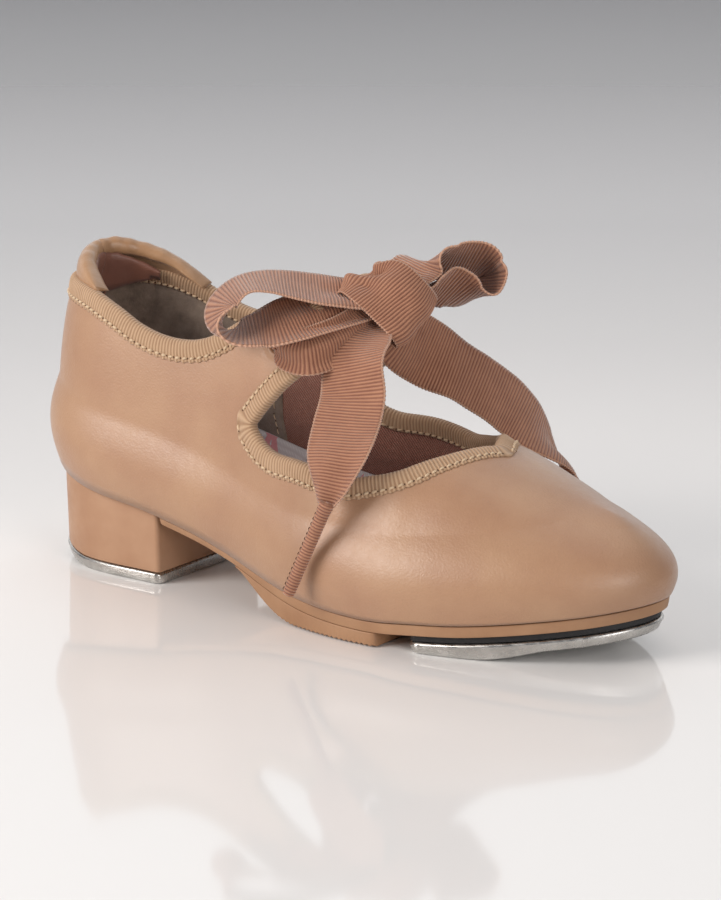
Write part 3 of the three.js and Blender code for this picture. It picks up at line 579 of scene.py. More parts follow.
def skin(name, alongs, ups, deepest, material, thick, clear, hole_room, ease=0.0):
    """A layer of the upper: the last's surface at a depth, without its opening and lace holes.
    clear is how far it stops short of the edge, which the folded tape covers, and ease is how much
    less deep it lies there, where the layers are pressed together."""
    alongs, ups = np.asarray(alongs), np.asarray(ups)
    points, runs, faces = [], [], []
    for side in (-1.0, 1.0):
        along, up = np.meshgrid(alongs, ups, indexing="ij")
        rim = deep_point(half[::4, 0], half[::4, 1], side, deepest)
        flat = deep_point(along, up, side, deepest)
        reach = np.min(np.linalg.norm(flat[:, :, None] - rim[None, None], axis=-1), axis=-1)
        grid = deep_point(along, up, side, deepest - ease * (1 - smoothstep(2, 14, reach)))
        middle_along, middle_up = (along[1:, 1:] + along[:-1, :-1]) / 2, (up[1:, 1:] + up[:-1, :-1]) / 2
        centre = (grid[1:, 1:] + grid[:-1, :-1]) / 2
        gone = in_opening(middle_along, middle_up)
        gone |= (reach[1:, 1:] + reach[:-1, :-1]) / 2 < clear
        gone |= np.linalg.norm(centre - deep_point(*HOLE, side, deepest), axis=-1) < hole_room
        start = sum(len(p) for p in points)
        points.append(grid.reshape(-1, 3))
        u_run = np.cumsum(np.linalg.norm(np.diff(grid, axis=0), axis=-1), axis=0)
        v_run = np.cumsum(np.linalg.norm(np.diff(grid, axis=1), axis=-1), axis=1)
        u = np.concatenate([np.zeros((1, len(ups))), u_run])
        v = np.concatenate([np.zeros((len(alongs), 1)), v_run], axis=1)
        runs.append(np.stack([u, v, 0 * u], axis=-1).reshape(-1, 3))
        columns = len(ups)
        for i, j in np.argwhere(~gone):
            a = start + i * columns + j
            faces.append((a, a + columns, a + columns + 1, a + 1))
    used = sorted({k for face in faces for k in face})
    fresh = {k: n for n, k in enumerate(used)}
    faces = [tuple(fresh[k] for k in face) for face in faces]
    made = make_piece(name, np.vstack(points)[used], faces, material, np.vstack(runs)[used])
    return thicken(made, thick)


coarse = 1
round_steps = np.concatenate([[0, 0.0015, 0.003, 0.0045], np.linspace(0.006, 0.994, 210 // coarse),
                              [0.997, 1]])
up_steps = np.linspace(0, 1, 84 // coarse)
upper = skin("upper_leather", round_steps, up_steps, UPPER_THICK / 2, tan_leather,
             UPPER_THICK, 1.2, 5.0)
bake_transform(upper)
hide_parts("upper")


def round_hole(side, radius, depth, turn):
    """A point a radius from the lace hole's centre, along the surface."""
    along, up = HOLE
    here = last_point(along, up, side)
    along_way = (last_point(along + 0.001, up, side) - here) / 0.001
    up_way = (last_point(along, up + 0.001, side) - here) / 0.001
    first = unit(along_way)
    second = unit(up_way - first * dot(up_way, first))
    move = (first * np.cos(turn)[..., None] + second * np.sin(turn)[..., None]) * radius
    aa, bb, ab = dot(along_way, along_way), dot(up_way, up_way), dot(along_way, up_way)
    ma, mb = dot(move, along_way), dot(move, up_way)
    base = aa * bb - ab * ab
    return deep_point(along + (bb * ma - ab * mb) / base, up + (aa * mb - ab * ma) / base, side,
                      np.full(turn.shape, float(depth)))


def eyelet(name, side):
    turn = np.linspace(0, 2 * np.pi, 64, endpoint=False)
    section = [(6.2, 0.03), (5.5, -0.03), (5.0, -0.16), (4.5, -0.34), (4.1, -0.38), (3.75, -0.2), (3.55, 0.15),
               (3.45, 0.7), (3.42, 1.6), (3.5, 2.1), (3.8, 2.4), (4.6, 2.4), (6.0, 2.2)]
    rows = [round_hole(side, radius, depth, turn) for radius, depth in section]
    faces = rows_faces(len(rows), len(turn), around=True)
    made = make_piece(name, np.vstack(rows), faces, tan_leather)
    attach(made, "rear")


eyelet("eyelet_near", -1.0)
eyelet("eyelet_far", 1.0)

# ---- Linings ----
# Grey-brown suede lines the back part and red-brown twill the front part. The suede laps over the
# twill beside the heel's front, where one row of stitches holds both. A fibre counter stiffens the
# heel and a fibre puff the toe, both hidden between the upper and the linings.

suede, tree, shader, place = new_material("suede", {"IOR": 1.4, "Roughness": 0.95, "Sheen Weight": 0.5,
                                                    "Sheen Roughness": 0.6})
shade = ranged(tree, noise_of(tree, place, 7, 6, 0.7), 0.32, 0.68, 0, 1)
tree.links.new(tint(tree, shade, "6A584A", "9A8776"), shader.inputs["Base Color"])
bumps(tree, shader, (noise_of(tree, place, 0.35, 6, 0.75), 0.12), (noise_of(tree, place, 2.2, 3), 0.25))

twill, tree, shader, place = new_material("brown_twill", {"IOR": 1.4, "Roughness": 0.9, "Sheen Weight": 0.3})
run = add(tree, "ShaderNodeAttribute", attribute_name="run").outputs["Vector"]
parts = add(tree, "ShaderNodeSeparateXYZ", links={0: run}).outputs
slope = add(tree, "ShaderNodeMath", links={0: parts[0], 1: parts[1]}, operation="ADD").outputs[0]
ridge = sine_of(tree, slope, 1.0)
filling = sine_of(tree, parts[1], 0.45)
uneven = noise_of(tree, place, 1.2, 5, 0.7)
# Painted shade: the twill's colour is darker in the grooves between its diagonal ridges than on them, mixed with
# random tone.
share = add(tree, "ShaderNodeMath", links={0: ridge, 1: uneven}, operation="MULTIPLY").outputs[0]
tree.links.new(tint(tree, ranged(tree, share, 0.1, 0.6, 0, 1), "8A5545", "B98877"), shader.inputs["Base Color"])
bumps(tree, shader, (ridge, 0.12), (filling, 0.05), (noise_of(tree, place, 0.3, 4), 0.05))

fibre, tree, shader, place = new_material("fibre_board", {"IOR": 1.45, "Roughness": 0.9})
fleck = ranged(tree, noise_of(tree, place, 0.8, 6, 0.8), 0.3, 0.7, 0, 1)
tree.links.new(tint(tree, fleck, "7D6548", "B39B77"), shader.inputs["Base Color"])
bumps(tree, shader, (noise_of(tree, place, 0.4, 5), 0.06))

SEAM = 53.9
seam_along = math.acos(1 - 2 * SEAM / LENGTH) / math.pi
back_steps = np.concatenate([[0, 0.003], np.linspace(0.008, seam_along + 0.006, 76 // coarse)])
front_steps = np.concatenate([np.linspace(seam_along, 0.99, 150 // coarse), [1]])
lining_ups = np.linspace(0.06, 1, 76 // coarse)
quarter = skin("quarter_suede", back_steps, lining_ups, LINING_DEPTH + 0.5, suede,
               0.7, 1.0, 4.4, 1.25)
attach(quarter, "rear")
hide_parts("quarter_lining")
vamp = skin("vamp_twill", front_steps, lining_ups, LINING_DEPTH + 0.25, twill,
            0.6, 1.0, 4.4, 1.15)
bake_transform(vamp)
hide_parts("vamp_lining")

counter = skin("counter_fibre", back_steps[::3], np.linspace(0.02, 0.3, 14), 1.6, fibre,
               0.4, 9, 9)
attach(counter, "rear")
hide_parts("heel_counter")
puff = skin("puff_fibre", np.linspace(0.71, 1, 30), np.linspace(0.02, 1, 30), 1.7, fibre,
            0.5, 9, 9)
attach(puff, "forefoot")
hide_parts("toe_puff")

# ---- Binding tape ----
# Ribbed cotton tape is folded over the whole cut edge, in two lengths that meet at the tab tips,
# with a full roll at the top. Its lower edge is slightly scalloped by the stitching.

RIB = 0.95


def ribbed_tape(name, low, high, pitch):
    """Cotton tape with ribs across it, its colour paler on the ribs and darker between them as painted shade."""
    material, tree, shader, place = new_material(name, {"IOR": 1.45, "Roughness": 0.8, "Sheen Weight": 0.25})
    run = add(tree, "ShaderNodeAttribute", attribute_name="run").outputs["Vector"]
    parts = add(tree, "ShaderNodeSeparateXYZ", links={0: run}).outputs
    # Painted shade: the colour follows the ribs, darker in the grooves between them, mixed with random tone.
    rib = sine_of(tree, parts[0], pitch)
    uneven = noise_of(tree, place, 3, 4, 0.6)
    share = add(tree, "ShaderNodeMath", {1: 0.6}, {0: rib}, operation="MULTIPLY").outputs[0]
    share = add(tree, "ShaderNodeMath", {1: 0.4}, {0: uneven, 2: share}, operation="MULTIPLY_ADD").outputs[0]
    tree.links.new(tint(tree, ranged(tree, share, 0.1, 0.75, 0, 1), low, high), shader.inputs["Base Color"])
    filling = sine_of(tree, parts[1], 0.32)
    bumps(tree, shader, (rib, 0.06), (filling, 0.03), (noise_of(tree, place, 0.25, 4), 0.04))
    return material


tape = ribbed_tape("beige_tape", "9C7859", "C3A282", RIB)

TAPE_SECTION = np.array([
    (5.0, -0.08), (4.85, -0.35), (4.4, -0.5), (3.95, -0.42), (3.4, -0.55), (2.6, -0.75), (1.6, -0.88),
    (0.7, -0.9), (0, -0.7), (-0.5, -0.3), (-0.75, 0.3), (-0.85, 0.9), (-0.8, 1.5), (-0.55, 2.1), (0, 2.55),
    (0.8, 2.75), (1.8, 2.75), (3.0, 2.65), (3.8, 2.5), (4.1, 2.25), (4.0, 2.0), (2.5, 1.95), (0.6, 1.9),
    (0.1, 1.6), (0.1, 0.3), (0.6, -0.02), (2.5, -0.02),
])
RIBBED_POINTS = 20  # the ribs stand on this many of the section's points, the outer ones


def tape_length(name, first, last, node, blended):
    step = RIB / 6
    run = np.linspace(first, last, max(int((last - first) / step), 8))
    section = TAPE_SECTION
    way = np.roll(section, -1, axis=0) - np.roll(section, 1, axis=0)
    out = unit(np.stack([way[:, 1], -way[:, 0]], axis=-1))
    out *= np.where(np.arange(len(section)) < RIBBED_POINTS, 1.0, 0.0)[:, None]
    rib = 0.055 * np.cos(2 * np.pi * run / RIB)[:, None]
    edge = np.where(np.abs(section[:, 0] - 5) < 0.2, 0.16, 0.0)
    scallop = edge * np.cos(2 * np.pi * run / 2.0)[:, None]
    reach = np.minimum(run - first, last - run)[:, None]
    room = np.minimum(1, (1.2 + 1.1 * reach) / 5.2)
    distance = section[:, 0] - out[:, 0] * rib + scallop
    distance = np.where(distance > 0, distance * room, distance)
    depth = section[:, 1] - out[:, 1] * rib
    rows = from_edge(run[:, None], distance, depth)
    across = lengths(section)
    runs = np.stack([np.broadcast_to(run[:, None], rows.shape[:2]),
                     np.broadcast_to(across, rows.shape[:2]), np.zeros(rows.shape[:2])], axis=-1)
    faces = rows_faces(len(run), len(section), around=True, caps=True)
    made = make_piece(name, rows, faces, tape, runs)
    if blended:
        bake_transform(made)
    else:
        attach(made, "rear")
    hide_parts(node)


tape_length("throat_tape", TIP_NEAR + 0.15, TIP_FAR - 0.15, "throat_binding", True)
tape_length("ankle_tape", TIP_FAR - LOOP + 0.15, TIP_NEAR - 0.15, "ankle_binding", False)

# ---- Stitching ----
# Pale thread in short lock stitches near the tape's lower edge, outside and inside, with a small dark disc between
# each two, painted shade for the needle hole. A second row holds the lining seam.

thread, tree, shader, place = new_material("sewing_thread", {"IOR": 1.5, "Roughness": 0.6, "Sheen Weight": 0.3})
tree.links.new(tint(tree, noise_of(tree, place, 1.5, 3), "C4A37F", "E2CBAA"), shader.inputs["Base Color"])
bumps(tree, shader, (noise_of(tree, place, 0.2, 3), 0.05))
# Painted shade: the needle holes are small flat dark discs, not openings; the same dark material is also the real
# dark thread at the ribbon tips.
dark_thread_and_hole_shade, tree, shader, place = new_material("dark_thread_and_hole_shade", {"IOR": 1.4, "Roughness": 1.0})
tree.links.new(tint(tree, noise_of(tree, place, 0.5, 2), "4A3427", "6B4E3B"), shader.inputs["Base Color"])


def stitches(name, spots, normals, ways, length, material=None, radius=0.36):
    """Short rounded threads along ways, with their ends sunk, and dark discs between them, painted shade for the
    needle holes.
    """
    points, faces, holes, hole_faces = [], [], [], []
    sides = np.cross(normals, ways)
    for spot, normal, way, side in zip(spots, normals, ways, sides):
        start = len(points)
        for t in np.linspace(-1, 1, 7):
            thin = radius * (1 - 0.75 * t**4)
            middle = spot + way * (t * length / 2) + normal * (0.16 - 0.3 * t**4) + side * (0.12 * t)
            for turn in np.linspace(0, 2 * np.pi, 6, endpoint=False):
                reach = side * (thin * math.cos(turn)) + normal * (thin * 0.8 * math.sin(turn))
                points.append(middle + reach)
        faces += rows_faces(7, 6, around=True, caps=True, start=start)
        start = len(holes)
        centre = spot + way * (length / 2 + 0.24) + normal * 0.06
        holes.append(centre + normal * 0.02)
        for turn in np.linspace(0, 2 * np.pi, 8, endpoint=False):
            rim = centre + way * (0.22 * math.cos(turn)) + side * (0.26 * math.sin(turn))
            holes.append(rim - normal * 0.02)
        hole_faces += [(start, start + 1 + k, start + 1 + (k + 1) % 8) for k in range(8)]
    row = make_piece(name, points, faces, material or thread)
    dots = make_piece(name + "_painted_hole_shade", holes, hole_faces, dark_thread_and_hole_shade)
    return row, dots


def edge_stitches(name, first, last, distance, depth, pitch, blended):
    run = np.arange(first + 2.5, last - 2.5, pitch)
    spots = from_edge(run, distance, depth)
    inside = from_edge(run, distance, depth + (0.4 if depth > 0 else -0.4))
    normals = unit(inside - spots)
    ways = unit(from_edge(run + 0.4, distance, depth) - from_edge(run - 0.4, distance, depth))
    for made in stitches(name, spots, normals, ways, pitch * 0.74):
        if blended:
            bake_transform(made)
        else:
            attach(made, "rear")


edge_stitches("throat_stitches", TIP_NEAR, TIP_FAR, 3.95, -0.5, 2.05, True)
edge_stitches("ankle_stitches", TIP_FAR - LOOP, TIP_NEAR, 3.95, -0.5, 2.05, False)
edge_stitches("throat_inner_stitches", TIP_NEAR, TIP_FAR, 3.4, 2.62, 2.05, True)
edge_stitches("ankle_inner_stitches", TIP_FAR - LOOP, TIP_NEAR, 3.4, 2.62, 2.05, False)

for side, word in ((-1.0, "near"), (1.0, "far")):
    ups = np.linspace(0.1, 0.37, 16)
    spots = deep_point(seam_along - 0.004, ups, side, LINING_END + 0.1)
    normals = -last_normal(seam_along - 0.004, ups, side)
    above = deep_point(seam_along - 0.004, ups + 0.004, side, LINING_END + 0.1)
    for made in stitches("seam_stitches_" + word, spots, normals, unit(above - spots), 1.7, radius=0.18):
        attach(made, "rear")

# ---- Heel collar ----
# A fold of thin glossy leather over foam, caught under the tape at the back of the ankle. It stands
# above the tape outside and its raw lined edge hangs free inside.

collar_leather = leather("collar_leather", "A37A56", "B58C67", 0.7, 0.34)
flap_leather = leather("flap_leather", "734737", "8A5B49", 0.8, 0.5)


def collar_rows(section, first, last, count, sag):
    """Rows across the collar fold; section gives (share of height, distance, depth) points."""
    run = np.linspace(first, last, count)
    rise = np.sin(np.pi * (run - first + 0.6) / (last - first + 1.2)) ** 0.95
    pucker = 1 + sag * np.sin(run * 0.9) * np.sin(run * 0.37 + 1)
    rows = []
    for share, base, depth in section:
        distance = base * (rise if base > 1 else 1) - share * 8.4 * rise * pucker
        rows.append(from_edge(run, distance, depth * (1 + 0.04 * np.sin(run * 0.6 + share * 3))))
    return np.stack(rows, axis=1)


COLLAR_FIRST = -far_run[round(3.2 * EDGE_STEPS)]
COLLAR_LAST = near_run[round(2.2 * EDGE_STEPS)]
roll = collar_rows([
    (0, 0.4, 0.5), (0.12, -0.6, 0.1), (0.3, -0.9, -0.2), (0.5, -1.2, -0.3), (0.72, -1.3, -0.1),
    (0.88, -1.3, 0.4), (0.97, -1.3, 1.2), (1.0, -1.3, 2.1), (0.97, -1.3, 3.1), (0.88, -1.3, 3.9),
    (0.74, -1.3, 4.4), (0.6, -1.3, 4.4), (0.52, -1.2, 4.0), (0.5, -1.0, 3.3), (0.35, -0.8, 2.6),
    (0.1, 0, 2.0), (0, 0.4, 1.4),
], COLLAR_FIRST, COLLAR_LAST, 110 // coarse, 0.03)
collar = make_piece("heel_collar_roll", roll, rows_faces(*roll.shape[:2], around=True, caps=True),
                    collar_leather)
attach(collar, "rear")
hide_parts("heel_collar")
flap = collar_rows([
    (0.66, -1.2, 4.2), (0.56, -1.1, 4.7), (0.4, -0.9, 4.8), (0.2, -0.3, 4.7), (0.06, 1.0, 4.6), (0, 3.0, 4.6),
    (0, 5.4, 4.5),
], COLLAR_FIRST + 14, COLLAR_LAST - 2, 110 // coarse, 0.05)
flap_piece = make_piece("heel_collar_flap", flap, rows_faces(*flap.shape[:2]), flap_leather)
thicken(flap_piece, 0.7)
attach(flap_piece, "rear")

# ---- Sole ----
# A thin tan sole is cemented under the upper from the heel's breast to the toe, and a second one
# under the ball, its bottom moulded with fine ribs and its front cut square before the toe tap.

tan_sole, tree, shader, place = new_material("tan_sole", {"IOR": 1.5, "Roughness": 0.55})
blotch = ranged(tree, noise_of(tree, place, 12, 4), 0.3, 0.7, 0, 1)
tree.links.new(tint(tree, blotch, "9C7353", "AC8463"), shader.inputs["Base Color"])
tree.links.new(ranged(tree, noise_of(tree, place, 3, 4), 0.3, 0.7, 0.45, 0.65), shader.inputs["Roughness"])
bumps(tree, shader, (noise_of(tree, place, 0.5, 5, 0.7), 0.03), (noise_of(tree, place, 8, 3), 0.1))


def sole_thick(x):
    return 1.9 + 1.1 * smoothstep(0.37, 0.55, x / LENGTH)


def sole_top(x):
    return feather(x) - GAP


def sole_bottom(x):
    return sole_top(x) - sole_thick(x)


sole = slab("outsole_leather", (47.2, LENGTH), (sole_top, sole_bottom), (0.5, 0.9), 0.35, tan_sole,
            columns=150)
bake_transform(sole)
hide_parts("outsole")


def pad_top(x):
    return sole_bottom(x) - 0.12


def pad_bottom(x):
    return pad_top(x) - 0.4 - (pad_top(x) - 1.1) * smoothstep(72, 98, x)


def pad_ribs(x):
    saw = np.abs(np.mod(x / 1.6, 1) - 0.5) * 2
    return -0.42 * saw * smoothstep(84, 98, x)


pad = slab("ball_pad_sole", (74, 125), (pad_top, pad_bottom), (1.0, 1.5), 0.3, tan_sole,
           columns=260 // coarse, wave=pad_ribs)
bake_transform(pad)
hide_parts("ball_pad")

# ---- Inside bottom ----
# A fibre insole board carries the upper's turned margin, a cork sheet fills the hollow below it,
# and a printed white cotton sock covers the board, with scattered pink stars and outlined ones.

insole = slab("insole_fibre", (0, LENGTH), (above_feather(3.8), above_feather(1.8)), (2.7, 2.7), 0.3, fibre,
              columns=90)
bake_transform(insole)
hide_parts("insole_board")
filler = slab("filler_cork", (93, 176), (above_feather(1.2), above_feather(0.05)), (11.3, 11.3), 0.2, fibre,
              columns=60)
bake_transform(filler)
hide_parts("bottom_filler")

sock_cloth, tree, shader, place = new_material("white_sock", {"IOR": 1.45, "Roughness": 0.85, "Sheen Weight": 0.3})
parts = add(tree, "ShaderNodeSeparateXYZ", links={0: place}).outputs
warp, weft = sine_of(tree, parts[0], 0.5 * MM), sine_of(tree, parts[1], 0.5 * MM)
woven = add(tree, "ShaderNodeMath", links={0: warp, 1: weft}, operation="MULTIPLY").outputs[0]
# Painted shade: the white is darker between the threads than where they cross on top.
tree.links.new(tint(tree, woven, "DAD3D4", "F6F2F3"), shader.inputs["Base Color"])
bumps(tree, shader, (woven, 0.05), (noise_of(tree, place, 3, 3), 0.1))


def print_ink(name, low, high):
    material, tree, shader, place = new_material(name, {"IOR": 1.45, "Roughness": 0.8, "Sheen Weight": 0.2})
    tree.links.new(tint(tree, noise_of(tree, place, 0.6, 4), low, high), shader.inputs["Base Color"])
    bumps(tree, shader, (noise_of(tree, place, 0.4, 3), 0.04))
    return material


pink_ink = print_ink("pink_ink", "DD8E96", "F0B0B4")
black_ink = print_ink("black_ink", "1D1A1C", "3A3537")
SOCK_RIM = [(1.5, 14.0), (1.9, 12.5), (2.6, 10.4), (3.6, 8.0), (5.2, 6.4), (8, 5.7), (11.5, 5.5)]


def sock_height(x, inset):
    """Height above the feather line; the rim is highest round the heel and fades out to the toe."""
    rise = np.interp(inset, [spot[0] for spot in SOCK_RIM], [spot[1] for spot in SOCK_RIM])
    return rise - 4.5 * smoothstep(100, 150, x) * (rise - 5.5) / 8.5


def moulded_sock(name):
    along = np.concatenate([[0], np.linspace(0.03, 0.97, 90), [1]])
    rings = []
    for inset, _ in SOCK_RIM:
        halves = []
        for side in (-1, 1):
            foot = feather_point(along, side)
            line = foot - outline_normal(along, side) * inset
            line[:, 2] = feather(foot[:, 0]) + sock_height(foot[:, 0], inset)
            halves.append(line)
        rings.append(np.vstack([halves[0], halves[1][::-1]]))
    count = len(rings[0])
    faces = rows_faces(len(rings), count, around=True)
    inner = (len(rings) - 1) * count
    faces += [(inner + k, inner + k + 1, inner + count - 2 - k, inner + count - 1 - k)
              for k in range(count // 2 - 1)]
    return thicken(make_piece(name, np.vstack(rings), faces, sock_cloth), 0.8)


sock = moulded_sock("printed_sock")
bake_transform(sock)
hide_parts("sock_liner")


def star_outline(x, y, size, turn):
    spots = []
    for k in range(10):
        reach = size * (1.0 if k % 2 == 0 else 0.46)
        angle = turn + math.pi * k / 5
        spots.append((x + reach * math.cos(angle), y + reach * math.sin(angle)))
    return spots


def star_print(name, ink, odd):
    points, faces = [], []
    for row in range(13):
        for column in range(19):
            if (row + column) % 2 != odd:
                continue
            x = 10 + column * 6.8 + (row % 2) * 1.6
            y = (row - 6) * 5 + 0.7 * math.sin(column * 2.1)
            size = 3.1 + 0.5 * math.sin(column * 1.7 + row)
            if abs(y) > float(half_width(x, math.copysign(1, y))) - 2.2:
                continue
            turn = column * 1.3 + row * 0.7
            outer = star_outline(x, y, size, turn)
            inner = star_outline(x, y, size * (0.62 if odd else 0.1), turn)
            start = len(points)
            for px, py in outer + inner:
                inset = float(half_width(px, math.copysign(1, py))) - abs(py)
                inset, py = max(inset, 1.9), py - math.copysign(max(1.9 - inset, 0), py)
                slope = float(sock_height(px, inset - 0.2) - sock_height(px, inset + 0.2)) / 0.4
                height = float(feather(px) + sock_height(px, inset)) + 0.46 * math.hypot(1, slope)
                points.append((px, py, height))
            faces += [(start + k, start + (k + 1) % 10, start + 10 + (k + 1) % 10, start + 10 + k)
                      for k in range(10)]
    made = make_piece(name, points, faces, ink)
    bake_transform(made)


star_print("pink_stars", pink_ink, 0)
star_print("outlined_stars", black_ink, 1)

# ---- Heel block ----
# Moulded plastic in the upper's tan, held from inside by nails and one long screw; its walls lean
# in slightly and its front corners are softened.

heel_plastic, tree, shader, place = new_material("heel_plastic", {"IOR": 1.5, "Roughness": 0.42})
blotch = ranged(tree, noise_of(tree, place, 15, 3), 0.35, 0.65, 0, 1)
tree.links.new(tint(tree, blotch, "A87E60", "B48C6E"), shader.inputs["Base Color"])
tree.links.new(ranged(tree, noise_of(tree, place, 2, 4), 0.3, 0.7, 0.38, 0.5), shader.inputs["Roughness"])
bumps(tree, shader, (noise_of(tree, place, 0.5, 4), 0.02), (noise_of(tree, place, 10, 2), 0.12))
HEEL_FRONT = 46
TAP_THICK = 3.2


def heel_rise(x):
    return 3 * np.maximum(1 - x / 19, 0) ** 1.3


def block_bottom(x):
    return TAP_THICK + 0.15 + heel_rise(x)


block = slab("heel_block_shell", (0, HEEL_FRONT), (above_feather(-GAP), block_bottom), (1.7, 2.3), 0.35,
             heel_plastic, columns=80, corner=1.2)
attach(block, "rear")
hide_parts("heel_block")

# ---- Taps ----
# Cast aluminium plates with a clouded satin face and fine scratches. The toe tap is screwed through
# a black sounding board; the heel tap straight into the block.


def brushed_metal(name, low, high, gloss):
    material, tree, shader, place = new_material(name, {"Roughness": gloss}, metal=1.0)
    cloud = ranged(tree, noise_of(tree, place, 6, 5, 0.65), 0.3, 0.7, 0, 1)
    tree.links.new(tint(tree, cloud, low, high), shader.inputs["Base Color"])
    stretched = {"Scale": (60, 900, 900), "Rotation": (0, 0, 0.4)}
    long_way = add(tree, "ShaderNodeMapping", stretched, {0: place}).outputs[0]
    scratch = add(tree, "ShaderNodeTexNoise", {"Scale": 1.0, "Detail": 5.0}, {"Vector": long_way}).outputs[0]
    tree.links.new(ranged(tree, scratch, 0.35, 0.65, gloss - 0.08, gloss + 0.16), shader.inputs["Roughness"])
    pitted, rolled = noise_of(tree, place, 1.5, 5, 0.7), noise_of(tree, place, 9, 2)
    bumps(tree, shader, (scratch, 0.006), (pitted, 0.005), (rolled, 0.03))
    return material


tap_metal = brushed_metal("tap_metal", "B2B0AC", "D2D0CC", 0.26)
steel = brushed_metal("spring_steel", "8C8E90", "B4B6B8", 0.3)
black_board, tree, shader, place = new_material("black_board", {"IOR": 1.5, "Roughness": 0.6})
tree.links.new(tint(tree, noise_of(tree, place, 1, 5), "101012", "2A2829"), shader.inputs["Base Color"])
bumps(tree, shader, (noise_of(tree, place, 0.4, 5), 0.05))


def board_top(x):
    return sole_bottom(x) - 0.15


def tap_top(x):
    return feather(x) - 5.2


def tap_bottom(x):
    return np.maximum(0, tap_top(x) - TAP_THICK) * smoothstep(147, 168, x)


def heel_tap_top(x):
    return TAP_THICK + heel_rise(x)


heel_tap = slab("heel_tap_plate", (0, HEEL_FRONT), (heel_tap_top, heel_rise), (2.0, 2.6), 0.75,
                tap_metal, columns=80, corner=2.0)
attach(heel_tap, "rear")
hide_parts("heel_tap")
toe_tap = slab("toe_tap_plate", (132.5, LENGTH), (tap_top, tap_bottom), (1.9, 2.7), 1.0, tap_metal,
               columns=110, corner=4.0)
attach(toe_tap, "forefoot")
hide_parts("toe_tap")
board = slab("sounding_board", (133, LENGTH), (board_top, lambda x: tap_top(x) + 0.1), (2.3, 2.5), 0.2, black_board,
             columns=90, corner=3.0)
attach(board, "forefoot")
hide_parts("toe_tap_board")


def screw_head(name, x, y, height, node, body):
    """A countersunk head seen from below, with a worn cross recess."""
    turns = np.linspace(0, 2 * np.pi, 48, endpoint=False)
    points, rows = [], []
    reaches = np.concatenate([np.linspace(0.05, 2.3, 22), [2.6, 2.8, 2.9]])
    for reach in reaches:
        px, py = reach * np.cos(turns), reach * np.sin(turns)
        flat_arm = np.maximum(np.abs(px) / 1.75, np.abs(py) / 0.42)
        tall_arm = np.maximum(np.abs(py) / 1.75, np.abs(px) / 0.42)
        cross = np.minimum(flat_arm, tall_arm)
        sunk = 1.1 * (1 - smoothstep(0.8, 1.15, cross)) * (1 - 0.35 * reach / 1.75)
        dome = 0.12 * (reach / 2.9) ** 2 + (0.22 if reach > 2.85 else 0)
        rows.append(np.stack([x + px, y + py, height + np.maximum(sunk, 0) + dome], axis=-1))
    rows.append(np.stack([x + 2.2 * np.cos(turns), y + 2.2 * np.sin(turns), height + 1.6 + 0 * turns], axis=-1))
    faces = rows_faces(len(rows), len(turns), around=True, caps=True)
    made = make_piece(name, np.vstack(rows), faces, steel)
    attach(made, body)
    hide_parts(node)


HEAD_PROUD = 0.14
for k, (x, y) in enumerate([(13, 0), (38, -13), (38, 12)]):
    screw_head(f"heel_screw_head_{k + 1}", x, y, float(heel_rise(x)) - HEAD_PROUD,
               f"heel_tap_screw_{k + 1}", "rear")
for k, (x, y) in enumerate([(139, -17), (139, 17), (171, 0)]):
    screw_head(f"toe_screw_head_{k + 1}", x, y, float(tap_bottom(float(x))) - HEAD_PROUD,
               f"toe_tap_screw_{k + 1}", "forefoot")

# ---- Ribbon ----
# Grosgrain ribbon 18 mm wide: thick ribs straight across it and a firm looped edge on each side.
# It is modelled as thin cloth along a line of places, cupped, gathered or folded as it lies.

RIBBON_RIB = 0.86
RIBBON_WIDTH = 18.0
ribbon_cloth, tree, shader, place = new_material("ribbon_cloth", {"IOR": 1.45, "Roughness": 0.62,
                                                                 "Sheen Weight": 0.45, "Sheen Roughness": 0.4})
run = add(tree, "ShaderNodeAttribute", attribute_name="run").outputs["Vector"]
parts = add(tree, "ShaderNodeSeparateXYZ", links={0: run}).outputs
rib = sine_of(tree, parts[0], RIBBON_RIB)
warp = sine_of(tree, parts[1], 0.3)
from_middle = add(tree, "ShaderNodeMath", links={0: parts[1]}, operation="ABSOLUTE").outputs[0]
selvage = ranged(tree, from_middle, 8.55, 8.85, 0, 1)
uneven = noise_of(tree, place, 4, 5, 0.6)
# Painted shade: the colour follows the ribs, darker in the narrow grooves between them, mixed with random tone.
rib_painted_shade = add(tree, "ShaderNodeMath", {1: 0.55}, {0: rib}, operation="POWER").outputs[0]
share = add(tree, "ShaderNodeMath", {1: 0.7}, {0: rib_painted_shade}, operation="MULTIPLY").outputs[0]
share = add(tree, "ShaderNodeMath", {1: 0.4}, {0: uneven, 2: share}, operation="MULTIPLY_ADD").outputs[0]
body_colour = tint(tree, ranged(tree, share, 0.15, 1.0, 0, 1), "744230", "BC8769")
edged = add(tree, "ShaderNodeMix", {7: colour("C79A80")}, {0: selvage, 6: body_colour}, data_type="RGBA")
tree.links.new(edged.outputs[2], shader.inputs["Base Color"])
bumps(tree, shader, (rib, 0.1), (warp, 0.03), (noise_of(tree, place, 0.25, 3), 0.03))

RIBBON_STEP = RIBBON_RIB / 6


